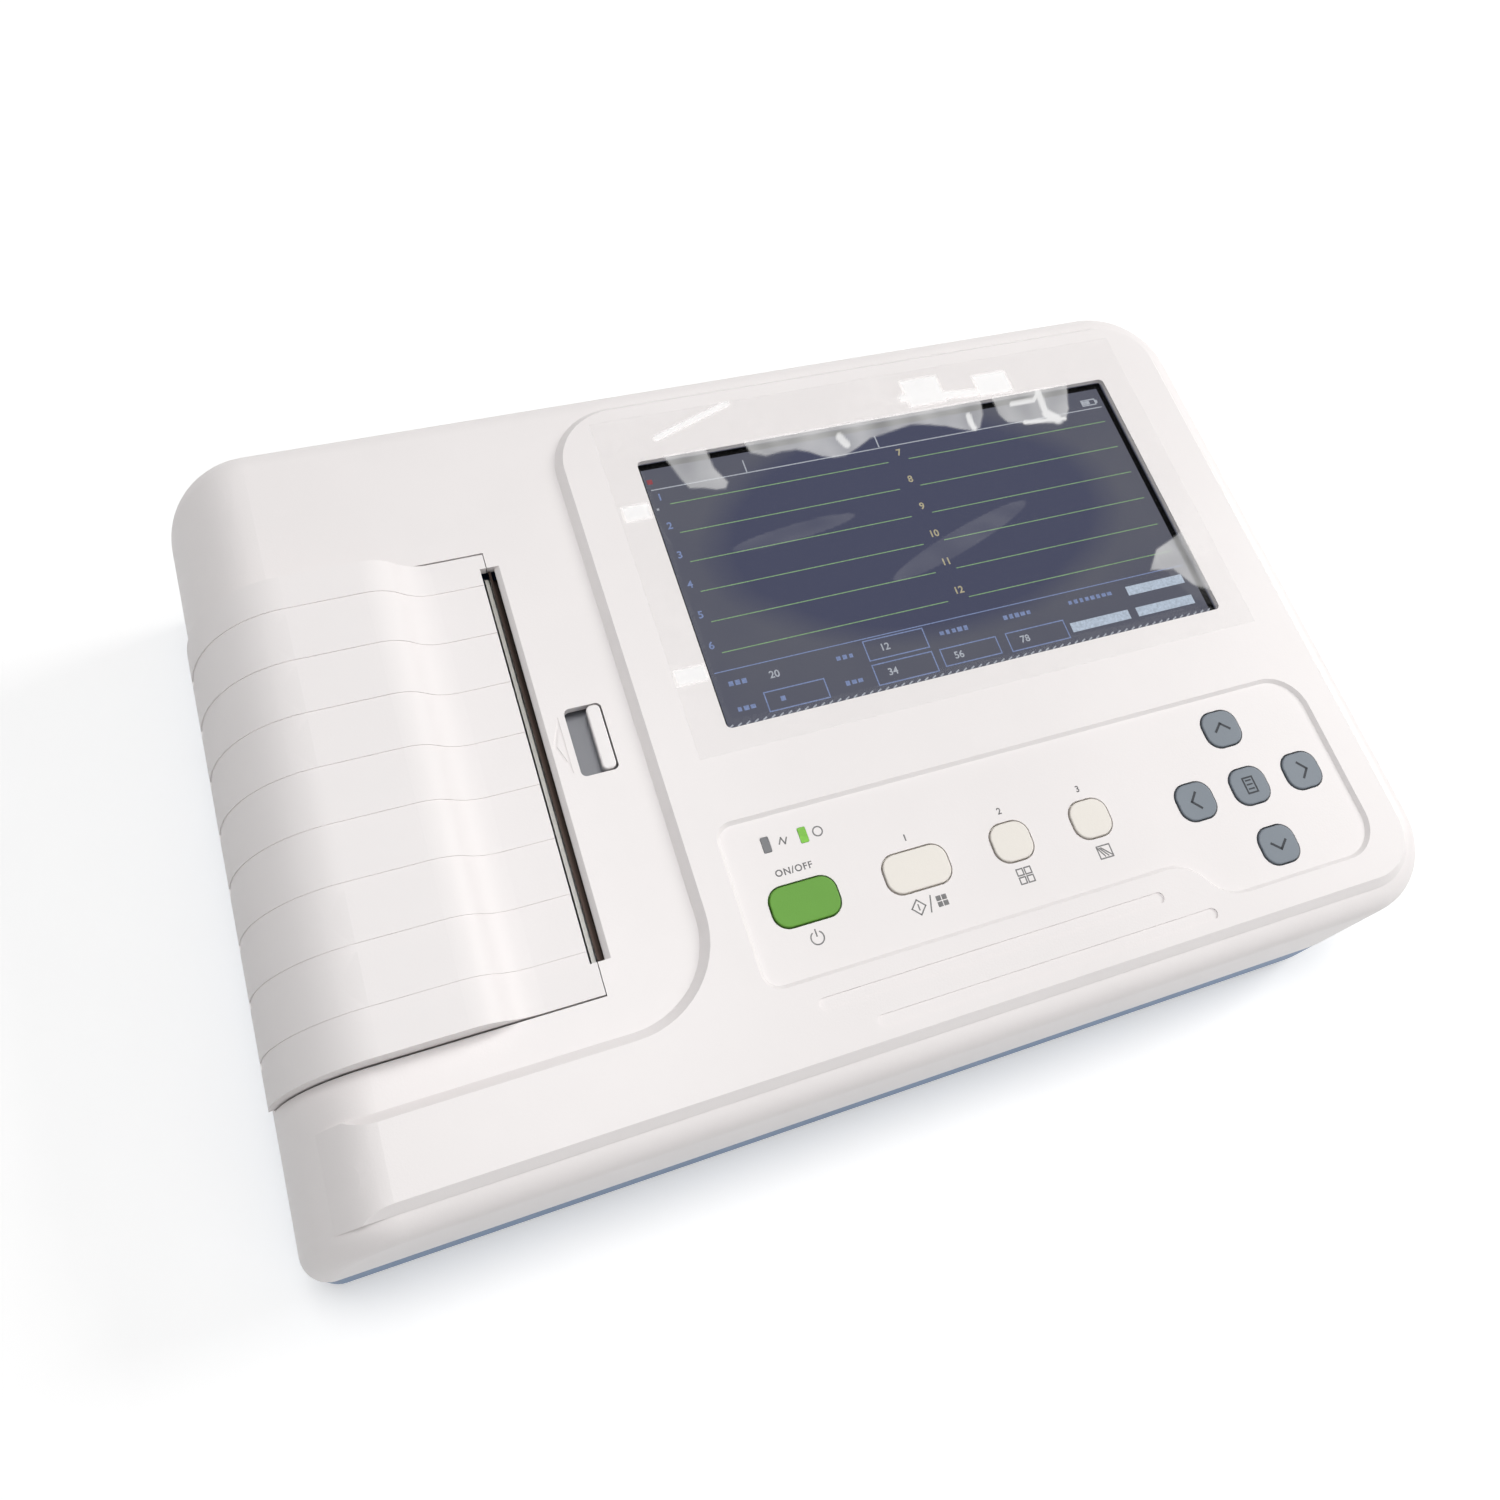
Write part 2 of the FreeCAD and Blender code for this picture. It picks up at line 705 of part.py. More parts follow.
def make_chassis():
    floor = box(comp_left, chassis_right, wall_front, wall_end, chassis_floor, chassis_floor + chassis_wall)
    parts = [box(comp_left, comp_left + chassis_wall, wall_front, wall_end, chassis_floor,
                 hinge_w - 2 * barrel_radius)]
    journal = journal_radius + run_fit
    divider_top = platen_w - platen_tip - 2
    for v0 in (wall_front, wall_back):
        v1 = v0 + chassis_wall
        side = fuse(box(comp_left, comp_right + chassis_wall, v0, v1, chassis_floor, divider_top),
                    box(comp_left, comp_right - chassis_wall, v0, v1, chassis_floor, deck_clear))
        side = side.common(door_solid(2 * door_skin, v0 - 1, v1 + 1))
        slot = box(roll_u - journal, roll_u + journal, v0 - 1, v1 + 1, roll_w, deck_height)
        seat = rod(roll_u, roll_w, v0 - 1, v1 + 1, journal)
        parts.append(cut(side, slot, seat, hinge_zone(hinge_clear + swing_gap, v0 - 1, v1 + 1)))
    parts.append(box(comp_right, comp_right + chassis_wall, wall_front, wall_end, chassis_floor, divider_top))
    parts.append(box(comp_right, beam_back, wall_back, wall_end, chassis_floor, beam_low))
    parts.append(box(beam_u, beam_back, wall_back, wall_end, chassis_floor, beam_top))
    rib = box(comp_right, chassis_right, rib_front, rib_back, chassis_floor, divider_top + 1)
    column = box(beam_u, beam_back, rib_front, rib_back, chassis_floor, beam_top)
    beam = box(beam_u, beam_back, rib_front, wall_end, beam_low, beam_top)
    chassis = fuse(floor, rib, column, beam, *parts)
    holes = [rod(idler_u, idler_w, rib_front - 1, rib_back + 1, idler_pin_radius + press_fit)]
    holes.append(rod(pinion_u, pinion_w, rib_front - 1, rib_back + 1, motor_pilot + seat_fit))
    for u, w in motor_screw_places():
        holes.append(rod(u, w, rib_front - 1, rib_back + 1, motor_screw[0] + 2 * screw_fit))
    screw_hole = chassis_screw[0] + screw_fit
    for u, v in chassis_screw_places():
        holes.append(post(u, v, chassis_floor - 1, chassis_floor + chassis_wall + 1, screw_hole))
    return cut(chassis, *holes)


def motor_screw_places():
    reach = motor_radius - 2.5
    return [(pinion_u - reach, pinion_w), (pinion_u + reach, pinion_w)]


def chassis_screw_places():
    return [(comp_left + 6, wall_front + 7), (comp_left + 6, wall_back - 5),
            (chassis_right - 5, wall_front + 30), (chassis_right - 5, wall_back - 5)]


def make_motor():
    body = rod(pinion_u, pinion_w, rib_back, rib_back + motor_length, motor_radius)
    pilot = rod(pinion_u, pinion_w, rib_front + 0.5, rib_back, motor_pilot)
    half = motor_radius / 2
    plug = box(pinion_u - half, pinion_u + half, rib_back + 6, rib_back + 14,
               pinion_w - motor_radius - 1, pinion_w)
    motor = fuse(body, pilot, plug)
    holes = [rod(pinion_u, pinion_w, rib_front, rib_back + 10, motor_shaft_radius + run_fit)]
    for u, w in motor_screw_places():
        holes.append(rod(u, w, rib_front, rib_back + 4, motor_screw[0] + 0.05))
    return cut(motor, *holes)


def make_head_springs():
    # bowed leaf springs between the beam and the heat sink
    leaf = 0.4
    springs = []
    for v in (slot_front + paper_width / 4, slot_back - paper_width / 4):
        outline = [(sink_back, v - 9), (beam_u - leaf, v - 1), (beam_u - leaf, v + 1), (sink_back, v + 9)]
        outline += [(sink_back + leaf, v + 9), (beam_u, v + 1), (beam_u, v - 1), (sink_back + leaf, v - 9)]
        points = [Vector(u, y, beam_low + 4) for u, y in outline]
        face = Part.Face(Part.makePolygon(points + points[:1]))
        springs.append(face.extrude(Vector(0, 0, 5)))
    return springs


# Latch

plate_top = -wall - plate_drop
plate_low = plate_top - plate_thick
plate_u0 = latch_left - latch_travel + 1.4
plate_u1 = latch_right + latch_travel
plate_v0 = latch_front - 2.2
plate_v1 = latch_back + 2.2
knob_u0 = latch_right - seat_fit - knob_width
rail_u0 = knob_u0 + 0.9
rail_u1 = plate_u1 - 0.5
spring_end = plate_u1 + spring_length


def make_knob():
    knob = slab(knob_u0, latch_right - knob_gap, latch_front + knob_gap, latch_back - knob_gap,
                plate_top, knob_rise, latch_round)
    top = [e for e in knob.Edges if on_plane(e, "z", knob_rise)]
    knob = knob.makeFillet(knob_rise, top)
    plate = box(plate_u0, plate_u1, plate_v0, plate_v1, plate_low, plate_top)
    return fuse(knob, plate)


def make_yoke():
    # spine under the plate, with an arm past each end of the door and a finger over each hook
    low = plate_low - plate_thick
    spine_u1 = rail_u0 - 0.5
    tip = hook_u - 4.1
    near = door_front - 0.1
    far = door_back + 0.1
    spine = box(spine_u1 - yoke_width, spine_u1, near - yoke_arm, far + yoke_arm, low, plate_low)
    arms = []
    for v0, v1, f0, f1 in ((near - yoke_arm, near, near, door_v0 + door_end),
                           (far, far + yoke_arm, door_v1 - door_end, far)):
        arms.append(box(tip, spine_u1, v0, v1, low, plate_low))
        arms.append(box(tip, tip + 2.6, f0, f1, low, plate_low))
    return fuse(spine, *arms)


def latch_rails():
    rails = []
    drop = plate_low - slide_gap
    lip = 1.5
    near = plate_v0 - seat_fit
    far = plate_v1 + seat_fit
    for v0, v1, lip0, lip1 in ((near - rail_thick, near, near - rail_thick, plate_v0 + lip),
                               (far, far + rail_thick, plate_v1 - lip, far + rail_thick)):
        rails.append(box(rail_u0, rail_u1, v0, v1, drop - lip, -wall / 2))
        rails.append(box(rail_u0, rail_u1, lip0, lip1, drop - lip, drop))
        rails.append(box(rail_u0, rail_u1, lip0, lip1, plate_top + slide_gap, -wall / 2))
    anchor = box(spring_end, spring_end + 2, latch_middle - 2, latch_middle + 2, plate_low - 2, pod_under + 1)
    return rails + [anchor]


def make_latch_spring():
    along = Vector(1, 0, 0)
    start = Vector(plate_u1 + slide_gap / 2, latch_middle, plate_low)
    length = spring_length - slide_gap
    coil = Part.makeCylinder(spring_radius, length, start, along)
    return coil.cut(Part.makeCylinder(spring_radius - spring_wire, length, start, along))


# Places of fasteners

case_places = [(left + 18, front + 15), (left + 18, back - 15), (-10.0, front + 9.5), (-20.0, back - 12)]
case_places += [(right - 19, front + 19), (right - 19, back - 19)]
key_places = [(recess_left + 4.5, recess_back - 5.2), (recess_left + 4.5, recess_step + 4.8)]
key_places += [(recess_right - 9, recess_back - 5.2), (recess_right - 9, recess_front + 3.6)]
key_places += [(nav_u - 26.5, recess_back - 9.2), (nav_u - 26.5, recess_front + 8.6)]
glass_u0 = window_left - glass_margin
glass_u1 = window_right + glass_margin
glass_v0 = window_front - glass_margin
glass_v1 = window_back + glass_margin
glass_top = pod_step - glass_depth
panel_top = glass_top - glass_thick - 0.05
panel_low = panel_top - panel_thick
display_places = [(u, v) for u in (glass_u0 - 5, glass_u1 + 5) for v in (glass_v0 + 22, glass_v1 - 22)]
feet = [(left + 30, front + 26), (left + 30, back - 26)]
feet += [(right - 13.5, front + 37), (right - 13.5, back - 37)]
board_pilot = board_screw[0] + press_fit
board_clear = board_screw[0] + screw_fit
case_pilot = case_screw[0] + press_fit
case_clear = case_screw[0] + screw_fit


def board_screw_places(board):
    x0, x1, y0, y1, z = board
    return [(x, y) for x in (x0 + 5, x1 - 5) for y in (y0 + 5, y1 - 5)]


# Top case

def door_opening():
    low = hinge_w - barrel_radius - 0.6
    opening = box(2 * left, door_right, door_front, door_back, low, deck_height)
    for v0, v1 in ((door_front - 1, barrel_v0 - swing_gap), (barrel_v1 + swing_gap, door_back + 1)):
        opening = opening.cut(hinge_zone(hinge_clear, v0, v1))
    slot = box(door_right - 1, door_right + slot_half, slot_front, slot_back, -deck_height / 2, deck_height)
    # bevelled along the case side of the slot
    edge = door_right + slot_half
    low = Vector(edge - 1, 0, -slot_bevel - 1)
    corners = [low, Vector(edge + slot_bevel + 1, 0, 1), Vector(edge - 1, 0, 1)]
    bevel = Part.Face(Part.makePolygon(corners + corners[:1])).extrude(Vector(0, slot_back - slot_front, 0))
    bevel.translate(Vector(0, slot_front, 0))
    return fuse(opening, slot, bevel)


def triangle(apex, base, half, depth):
    points = [Vector(apex, latch_middle, -depth), Vector(base, latch_middle + half, -depth),
              Vector(base, latch_middle - half, -depth)]
    return Part.Face(Part.makePolygon(points + points[:1]))


def arrow():
    # engraved triangle beside the latch, pointing the way it slides
    depth = 0.35
    outer = triangle(latch_left - 5.1, latch_left - 1.8, 8.0, depth)
    inner = triangle(latch_left - 4.0, latch_left - 2.4, 4.6, depth)
    return outer.cut(inner).extrude(Vector(0, 0, 2))


def slim_bar(u0, v):
    half = bar_width / 2
    return slab(u0, u0 + bar_length, v - half, v + half, pod_step - bar_depth, pod_step + 2, half - 0.05)


def socket_block(outer):
    rim = 2.5
    bay = box(bay_left - wall, bay_right + wall, bay_floor - wall, back, bay_low - wall, bay_high + wall)
    half_y, half_z = lead_pocket_half
    pocket = box(lead_floor - wall, right, lead_v - half_y - rim, lead_v + half_y + rim,
                 lead_z - half_z - rim, lead_z + half_z + rim)
    return [bay.common(outer), pocket.common(outer)]


def socket_cuts():
    deep = 9.0
    half_y, half_z = lead_pocket_half
    cuts = [slab_y(bay_left, bay_right, bay_low, bay_high, bay_floor, back + 5, bay_round)]
    for x, half in ((inlet_x, inlet_half), (usb_x, usb_half)):
        reach_x = half[0] + 0.2
        reach_z = half[1] + 0.2
        cuts.append(box(x - reach_x, x + reach_x, bay_floor - deep, back, bay_z - reach_z, bay_z + reach_z))
    cuts.append(Part.makeCylinder(stud_thread + 0.05, deep, Vector(stud_x, bay_floor - deep + 1, bay_z),
                                  Vector(0, 1, 0)))
    cuts.append(slab_x(lead_floor, right + 5, lead_v - half_y, lead_v + half_y,
                       lead_z - half_z, lead_z + half_z, bay_round))
    reach_y = lead_half[0] + 0.4
    reach_z = lead_half[1] + 0.4
    cuts.append(box(lead_floor - deep, right, lead_v - reach_y, lead_v + reach_y,
                    lead_z - reach_z, lead_z + reach_z))
    for y in lead_post_places:
        start = Vector(lead_floor - deep + 1, y, lead_z)
        cuts.append(Part.makeCylinder(post_thread + 0.05, deep, start, Vector(1, 0, 0)))
    return cuts


def slab_y(x0, x1, z0, z1, y0, y1, radius):
    plain = box(x0, x1, y0, y1, z0, z1)
    along = [e for e in plain.Edges if abs(e.tangentAt(e.FirstParameter).y) > 0.99]
    return plain.makeFillet(radius, along)


def slab_x(x0, x1, y0, y1, z0, z1, radius):
    plain = box(x0, x1, y0, y1, z0, z1)
    along = [e for e in plain.Edges if abs(e.tangentAt(e.FirstParameter).x) > 0.99]
    return plain.makeFillet(radius, along)


def make_top_case():
    outer = fuse(case_form(0, foot_height), pod_form(0))
    inner = fuse(case_form(wall, foot_height - 1), pod_form(wall))
    case = outer.cut(inner)
    low = box(2 * left, 2 * right, 2 * front, 2 * back, -1, part_line)
    bosses = []
    for x, y in case_places:
        bosses.append(post(x, y, part_line, 2 * deck_height, case_boss).common(outer))
    for u, v in key_places:
        bosses.append(deck(post(u, v, board_top, pod_under + 1, boss_radius)))
    for u, v in display_places:
        bosses.append(deck(post(u, v, panel_low, pod_under + 1, boss_radius)))
    for v0, v1 in ((door_front - 0.5, barrel_v0 - swing_gap), (barrel_v1 + swing_gap, door_back + 0.5)):
        bosses.append(deck(hinge_zone(knuckle_radius, v0, v1)).common(outer))
    rails = [deck(r) for r in latch_rails()]
    case = fuse(case, *bosses, *rails, *socket_block(outer))
    cuts = [low, deck(door_opening()), deck(key_recess()), deck(arrow())]
    cuts.append(deck(rod(hinge_u, hinge_w, door_front - pin_over - 0.1, door_back + pin_over + 0.1,
                         pin_radius + press_fit)))
    cuts.append(deck(slab(window_left, window_right, window_front, window_back,
                          -1, deck_height / 2, window_round)))
    cuts.append(deck(box(glass_u0 - 0.5, glass_u1 + 0.5, glass_v0 - 0.5, glass_v1 + 0.5,
                         pod_under - 1, glass_top + gasket_thick)))
    cuts.append(deck(slab(latch_left, latch_right, latch_front, latch_back, -wall - 1, wall, latch_round)))
    cuts.append(deck(slim_bar(pod_left + 21.9, recess_step - 6.3)))
    cuts.append(deck(slim_bar(pod_left + 34.5, recess_step - 14.3)))
    for name, u, v, size in keys:
        cuts.append(deck(key_slab(u, v, size, key_gap, pod_under - 1, pod_step)))
    for name, u in lamps:
        cuts.append(deck(lamp_slab(u, 0.1, pod_under - 1, pod_step)))
    for u, v in key_places:
        cuts.append(deck(post(u, v, board_top - 1, board_top + 4, board_pilot)))
    for u, v in display_places:
        cuts.append(deck(post(u, v, panel_low - 1, panel_low + 4.5, board_pilot)))
    for x, y in case_places:
        cuts.append(post(x, y, part_line - 1, part_line + 12.5, case_pilot))
    return cut(case, *cuts, *socket_cuts())


# Bottom case

def tray_form(inset, z0, z1, bottom_round):
    form = box(left + inset, right - inset, front + inset, back - inset, z0, z1)
    uprights = [e for e in form.Edges if abs(e.tangentAt(e.FirstParameter).z) > 0.99]
    right_edges = [e for e in uprights if e.BoundBox.XMin > 0]
    form = form.makeFillet(corner_right - inset, right_edges)
    left_edges = [e for e in form.Edges if e.BoundBox.XMax < left / 2 and e.BoundBox.YLength < 1e-6
                  and e.BoundBox.XLength < 1e-6]
    form = form.makeFillet(edge_round - inset, left_edges)
    if bottom_round > 0:
        form = form.makeFillet(bottom_round, [e for e in form.Edges if on_plane(e, "z", z0)])
    return form


def cover_places():
    x0, x1, y0, y1 = battery
    middle = (y0 + y1) / 2
    return [(x0 - cover_margin + 4.5, middle), (x1 + cover_margin - 4.5, middle)]


def make_lip():
    # upstand inside the seam, following the inner face of the top case
    inset = wall + lip_gap
    high = case_form(inset, part_line)
    high = high.common(box(2 * left, 2 * right, 2 * front, 2 * back, part_line, part_line + lip_height))
    root = tray_form(tray_inset + wall / 2, part_line - lip_root, part_line, 0)
    hollow = tray_form(inset + lip_thick, part_line - lip_root - 1, part_line + lip_height + 1, 0)
    return fuse(high, root).cut(hollow)


def make_bottom_case():
    tray = tray_form(tray_inset, foot_height, part_line, tray_round)
    tray = tray.cut(tray_form(tray_inset + wall, tray_floor, part_line + 1, 0))
    boards = (main_board, supply_board)
    base = foot_height + 1
    posts = []
    for x, y in case_places:
        posts.append(post(x, y, foot_height, part_line, case_boss + 0.5))
    for board in boards:
        for x, y in board_screw_places(board):
            posts.append(post(x, y, base, board[4], boss_radius - 0.3))
    for u, v in chassis_screw_places():
        axis = deck(post(u, v, -2 * deck_height, chassis_floor, case_boss))
        posts.append(axis.common(box(2 * left, right, 2 * front, 2 * back, base, deck_height)))
    for x, y in cover_places():
        posts.append(post(x, y, foot_height + cover_thick, foot_height + 9, boss_radius - 0.3))
    speaker_wall = post(speaker_x, speaker_y, base, tray_floor + 5, speaker_radius + 2)
    speaker_wall = speaker_wall.cut(post(speaker_x, speaker_y, 0, part_line, speaker_radius + 0.15))
    tray = fuse(tray, make_lip(), speaker_wall, *posts)
    x0, x1, y0, y1 = battery
    grow = cover_margin
    cuts = [box(x0 - grow, x1 + grow, y0 - grow, y1 + grow, 0, foot_height + cover_thick)]
    grow = cover_margin - cover_lip
    hatch = box(x0 - grow, x1 + grow, y0 - grow, y1 + grow, foot_height, tray_floor + 0.01)
    for x, y in cover_places():
        hatch = hatch.cut(post(x, y, foot_height + cover_thick, part_line, boss_radius - 0.3))
    cuts.append(hatch)
    for x, y in feet:
        cuts.append(post(x, y, foot_height - 1, foot_height + foot_seat, foot_radius + 0.05))
    for x, y in case_places:
        cuts.append(post(x, y, foot_height - 1, foot_height + screw_recess, case_screw[1] + seat_fit))
        cuts.append(post(x, y, foot_height, part_line + 1, case_clear))
    for board in boards:
        for x, y in board_screw_places(board):
            cuts.append(post(x, y, tray_floor, board[4] + 1, board_pilot))
    for u, v in chassis_screw_places():
        cuts.append(deck(post(u, v, chassis_floor - 3.4, chassis_floor + 1, chassis_screw[0] + press_fit)))
    for x, y in cover_places():
        cuts.append(post(x, y, foot_height, foot_height + 8, board_pilot))
    for i in range(speaker_slots):
        shift = (i - (speaker_slots - 1) / 2) * slot_pitch
        reach = math.sqrt((speaker_radius - slot_pitch) ** 2 - shift ** 2)
        y = speaker_y + shift
        cuts.append(slab(speaker_x - reach, speaker_x + reach, y - 1, y + 1, 0, tray_floor + 1, 0.95))
    return cut(tray, *cuts)


def make_screw(x, y, head_z, direction, size, length):
    # direction is +1 where the shank points up from the head
    shank_radius, head_radius, head_height = size
    axis = Vector(0, 0, direction)
    head = Part.makeCylinder(head_radius, head_height, Vector(x, y, head_z), axis * -1)
    socket = Part.makeCylinder(head_radius * 0.45, head_height / 2,
                               Vector(x, y, head_z - direction * head_height), axis)
    shank = Part.makeCylinder(shank_radius, length, Vector(x, y, head_z), axis)
    return fuse(head.cut(socket), shank)


# Boards

def make_main_board():
    x0, x1, y0, y1, z = main_board
    top = z + board_thick
    board = box(x0, x1, y0, y1, z, top)
    pieces = [box(x0 + 25, x0 + 51, y0 + 26, y0 + 52, top, top + 2.2)]
    pieces.append(box(x1 - 41, x1 - 17, y0 + 22, y0 + 40, top, top + 3))
    pieces += [box(x0 + 7 + i * 11, x0 + 15 + i * 11, y1 - 36, y1 - 24, top, top + 1.6) for i in range(6)]
    pieces += [post(x1 - 35 + i * 9, y1 - 14, top, top + 9, 3.2) for i in range(3)]
    pieces.append(box(x0 + 15, x0 + 45, y1 - 12, y1 - 6, top, top + 6))
    board = fuse(board, *pieces)
    return cut(board, *[post(x, y, z - 1, top + 1, case_clear) for x, y in board_screw_places(main_board)])


def make_supply_board():
    x0, x1, y0, y1, z = supply_board
    top = z + board_thick
    board = box(x0, x1, y0, y1, z, top)
    pieces = [box(x0 + 24, x0 + 50, y0 + 12, y0 + 36, top, top + 22)]
    pieces += [post(x0 + 60, y0 + 12 + i * 14, top, top + 20, 5.5) for i in range(2)]
    pieces.append(box(x0 + 12, x0 + 18, y0 + 10, y0 + 38, top, top + 18))
    board = fuse(board, *pieces)
    return cut(board, *[post(x, y, z - 1, top + 1, case_clear) for x, y in board_screw_places(supply_board)])


def make_inlet():
    half_x, half_z = inlet_half
    mouth_x, mouth_z = inlet_mouth
    rim_x = half_x + 2.1
    rim_z = half_z + 0.8
    inlet_end = bay_floor - inlet_depth
    mouth_end = bay_floor - 0.7 * inlet_depth
    flange = slab_y(inlet_x - rim_x, inlet_x + rim_x, bay_z - rim_z, bay_z + rim_z,
                    bay_floor, bay_floor + 2, 2)
    body = box(inlet_x - half_x, inlet_x + half_x, inlet_end, bay_floor, bay_z - half_z, bay_z + half_z)
    mouth = slab_y(inlet_x - mouth_x, inlet_x + mouth_x, bay_z - mouth_z, bay_z + mouth_z,
                   mouth_end, bay_floor + 3, 2)
    inlet = fuse(flange, body).cut(mouth)
    blades = []
    tabs = []
    for dx, drop in ((-7, 6), (0, 4), (7, 6)):
        x = inlet_x + dx
        blades.append(box(x - 1, x + 1, mouth_end - 0.5, bay_floor - 1, bay_z - drop, bay_z - drop + 4))
        tabs.append(box(x - 2.4, x + 2.4, inlet_end - 7, inlet_end + 1, bay_z - 4.5, bay_z - 3.7))
    return fuse(inlet, *blades, *tabs)


def make_stud():
    axis = Vector(0, 1, 0)
    neck_y = bay_floor + 3
    pin = Part.makeCylinder(stud_radius, bay_depth - 0.5, Vector(stud_x, bay_floor, bay_z), axis)
    neck = Part.makeCylinder(0.8 * stud_radius, 1.6, Vector(stud_x, neck_y, bay_z), axis)
    groove = Part.makeCylinder(stud_radius + 1, 1.6, Vector(stud_x, neck_y, bay_z), axis).cut(neck)
    flange = Part.makeCylinder(stud_radius + 2.5, 1.5, Vector(stud_x, bay_floor, bay_z), axis)
    thread = Part.makeCylinder(stud_thread, 12, Vector(stud_x, bay_floor - 12, bay_z), axis)
    return fuse(pin.cut(groove), flange, thread)


def hexagon(x, y, z, across, length, axis):
    reach = across / math.sqrt(3)
    corners = [Vector(reach * math.cos(math.radians(60 * i)), reach * math.sin(math.radians(60 * i)), 0)
               for i in range(7)]
    prism = Part.Face(Part.makePolygon(corners)).extrude(Vector(0, 0, length))
    prism.Placement = FreeCAD.Placement(Vector(x, y, z), FreeCAD.Rotation(Vector(0, 0, 1), axis))
    return prism


def make_stud_nut():
    height = 4.0
    nut = hexagon(stud_x, bay_floor - wall - height, bay_z, 8, height, Vector(0, 1, 0))
    start = Vector(stud_x, bay_floor - wall - height - 1, bay_z)
    return nut.cut(Part.makeCylinder(stud_thread + press_fit, height + 2, start, Vector(0, 1, 0)))


def make_usb():
    half_x, half_z = usb_half
    mouth_x, mouth_z = usb_mouth
    body = box(usb_x - half_x, usb_x + half_x, bay_floor - 14, bay_floor + 1, bay_z - half_z, bay_z + half_z)
    mouth = box(usb_x - mouth_x, usb_x + mouth_x, bay_floor - 8, bay_floor + 2,
                bay_z - mouth_z, bay_z + mouth_z)
    tongue_x = mouth_x - 0.8
    tongue = box(usb_x - tongue_x, usb_x + tongue_x, bay_floor - 9, bay_floor, bay_z + 0.2, bay_z + 2)
    flange = box(usb_x - half_x - 2.2, usb_x + half_x + 2.2, bay_floor - wall - 1.2, bay_floor - wall,
                 bay_z - half_z - 1.8, bay_z + half_z + 1.8)
    return fuse(fuse(body, flange).cut(mouth), tongue)


def make_lead_socket():
    half_y, half_z = lead_half
    seat = lead_floor - wall
    shell = slab_x(seat, lead_floor + 5.6, lead_v - half_y, lead_v + half_y,
                   lead_z - half_z, lead_z + half_z, 2)
    flange = box(seat - 1, seat, lead_v - half_y - 7.2, lead_v + half_y + 7.2, lead_z - 6.2, lead_z + 6.2)
    body = box(seat - lead_body, seat - 1, lead_v - half_y + 0.4, lead_v + half_y - 0.4,
               lead_z - 5, lead_z + 5)
    socket = fuse(shell, flange, body)
    holes = []
    for row, count in ((1.4, 8), (-1.4, 7)):
        for i in range(count):
            y = lead_v + (i - (count - 1) / 2) * lead_pin_pitch
            holes.append(Part.makeCylinder(0.55, 6, Vector(lead_floor, y, lead_z + row), Vector(1, 0, 0)))
    for y in lead_post_places:
        start = Vector(seat - 2, y, lead_z)
        holes.append(Part.makeCylinder(post_thread + press_fit, 4, start, Vector(1, 0, 0)))
    return cut(socket, *holes)


def make_lead_posts():
    posts = []
    for y in lead_post_places:
        hexed = hexagon(lead_floor, y, lead_z, 4.8, 5, Vector(1, 0, 0))
        start = Vector(lead_floor - wall - 1, y, lead_z)
        posts.append(fuse(hexed, Part.makeCylinder(post_thread, wall + 1, start, Vector(1, 0, 0))))
    return posts


def make_battery():
    x0, x1, y0, y1 = battery
    z0 = foot_height + cover_thick + 0.3
    pack = slab_y(x0, x1, z0, z0 + battery_height, y0, y1, 3)
    label = box(x0 + 10, x1 - 10, y1, y1 + 3, z0 + 6, z0 + 12)
    return fuse(pack, label)


def make_cover():
    x0, x1, y0, y1 = battery
    grow = cover_margin - seat_fit
    cover = box(x0 - grow, x1 + grow, y0 - grow, y1 + grow, foot_height, foot_height + cover_thick)
    middle = (x0 + x1) / 2
    cuts = []
    for x, y in cover_places():
        cuts.append(post(x, y, foot_height - 1, foot_height + cover_thick / 2, cover_screw[1] + 0.2))
        cuts.append(post(x, y, foot_height, foot_height + cover_thick + 1, board_clear))
    for i in range(3):
        y = y0 + 6 + i * 4
        cuts.append(slab(middle - 12, middle + 12, y - 1, y + 1, 0, foot_height + 0.6, 0.95))
    return cut(cover, *cuts)


def make_speaker():
    frame = post(speaker_x, speaker_y, tray_floor, tray_floor + 4, speaker_radius)
    magnet = post(speaker_x, speaker_y, tray_floor + 4, tray_floor + 9, speaker_radius * 0.55)
    centre = Vector(speaker_x, speaker_y, tray_floor)
    cone = Part.makeCone(speaker_radius - 3, 5, 2.5, centre, Vector(0, 0, 1))
    return fuse(frame.cut(cone), magnet)


# Writing the nodes

os.makedirs("parts", exist_ok=True)

write("top_case", make_top_case())
write("bottom_case", make_bottom_case())
write("rubber_feet", *[post(x, y, 0, foot_height + foot_seat, foot_radius) for x, y in feet])
case_seat = foot_height + screw_recess
write("case_screws", *[make_screw(x, y, case_seat, 1, case_screw, part_line + 5) for x, y in case_places])
cover_seat = foot_height + cover_thick / 2
write("battery_cover", make_cover())
write("battery_cover_screws", *[make_screw(x, y, cover_seat, 1, cover_screw, 6.5) for x, y in cover_places()])
write("battery_pack", make_battery())
write("main_board", make_main_board())
write("supply_board", make_supply_board())
write("speaker", make_speaker())
write("mains_inlet", make_inlet())
write("earth_stud", make_stud())
write("earth_stud_nut", make_stud_nut())
write("usb_socket", make_usb())
write("lead_socket", make_lead_socket())
write("lead_jack_posts", *make_lead_posts())
lead_back = lead_floor - wall - lead_body
lead_board = box(lead_back - board_thick, lead_back, lead_v - 20, lead_v + 20, lead_z - 9, lead_z + 12)
write("lead_board", lead_board)

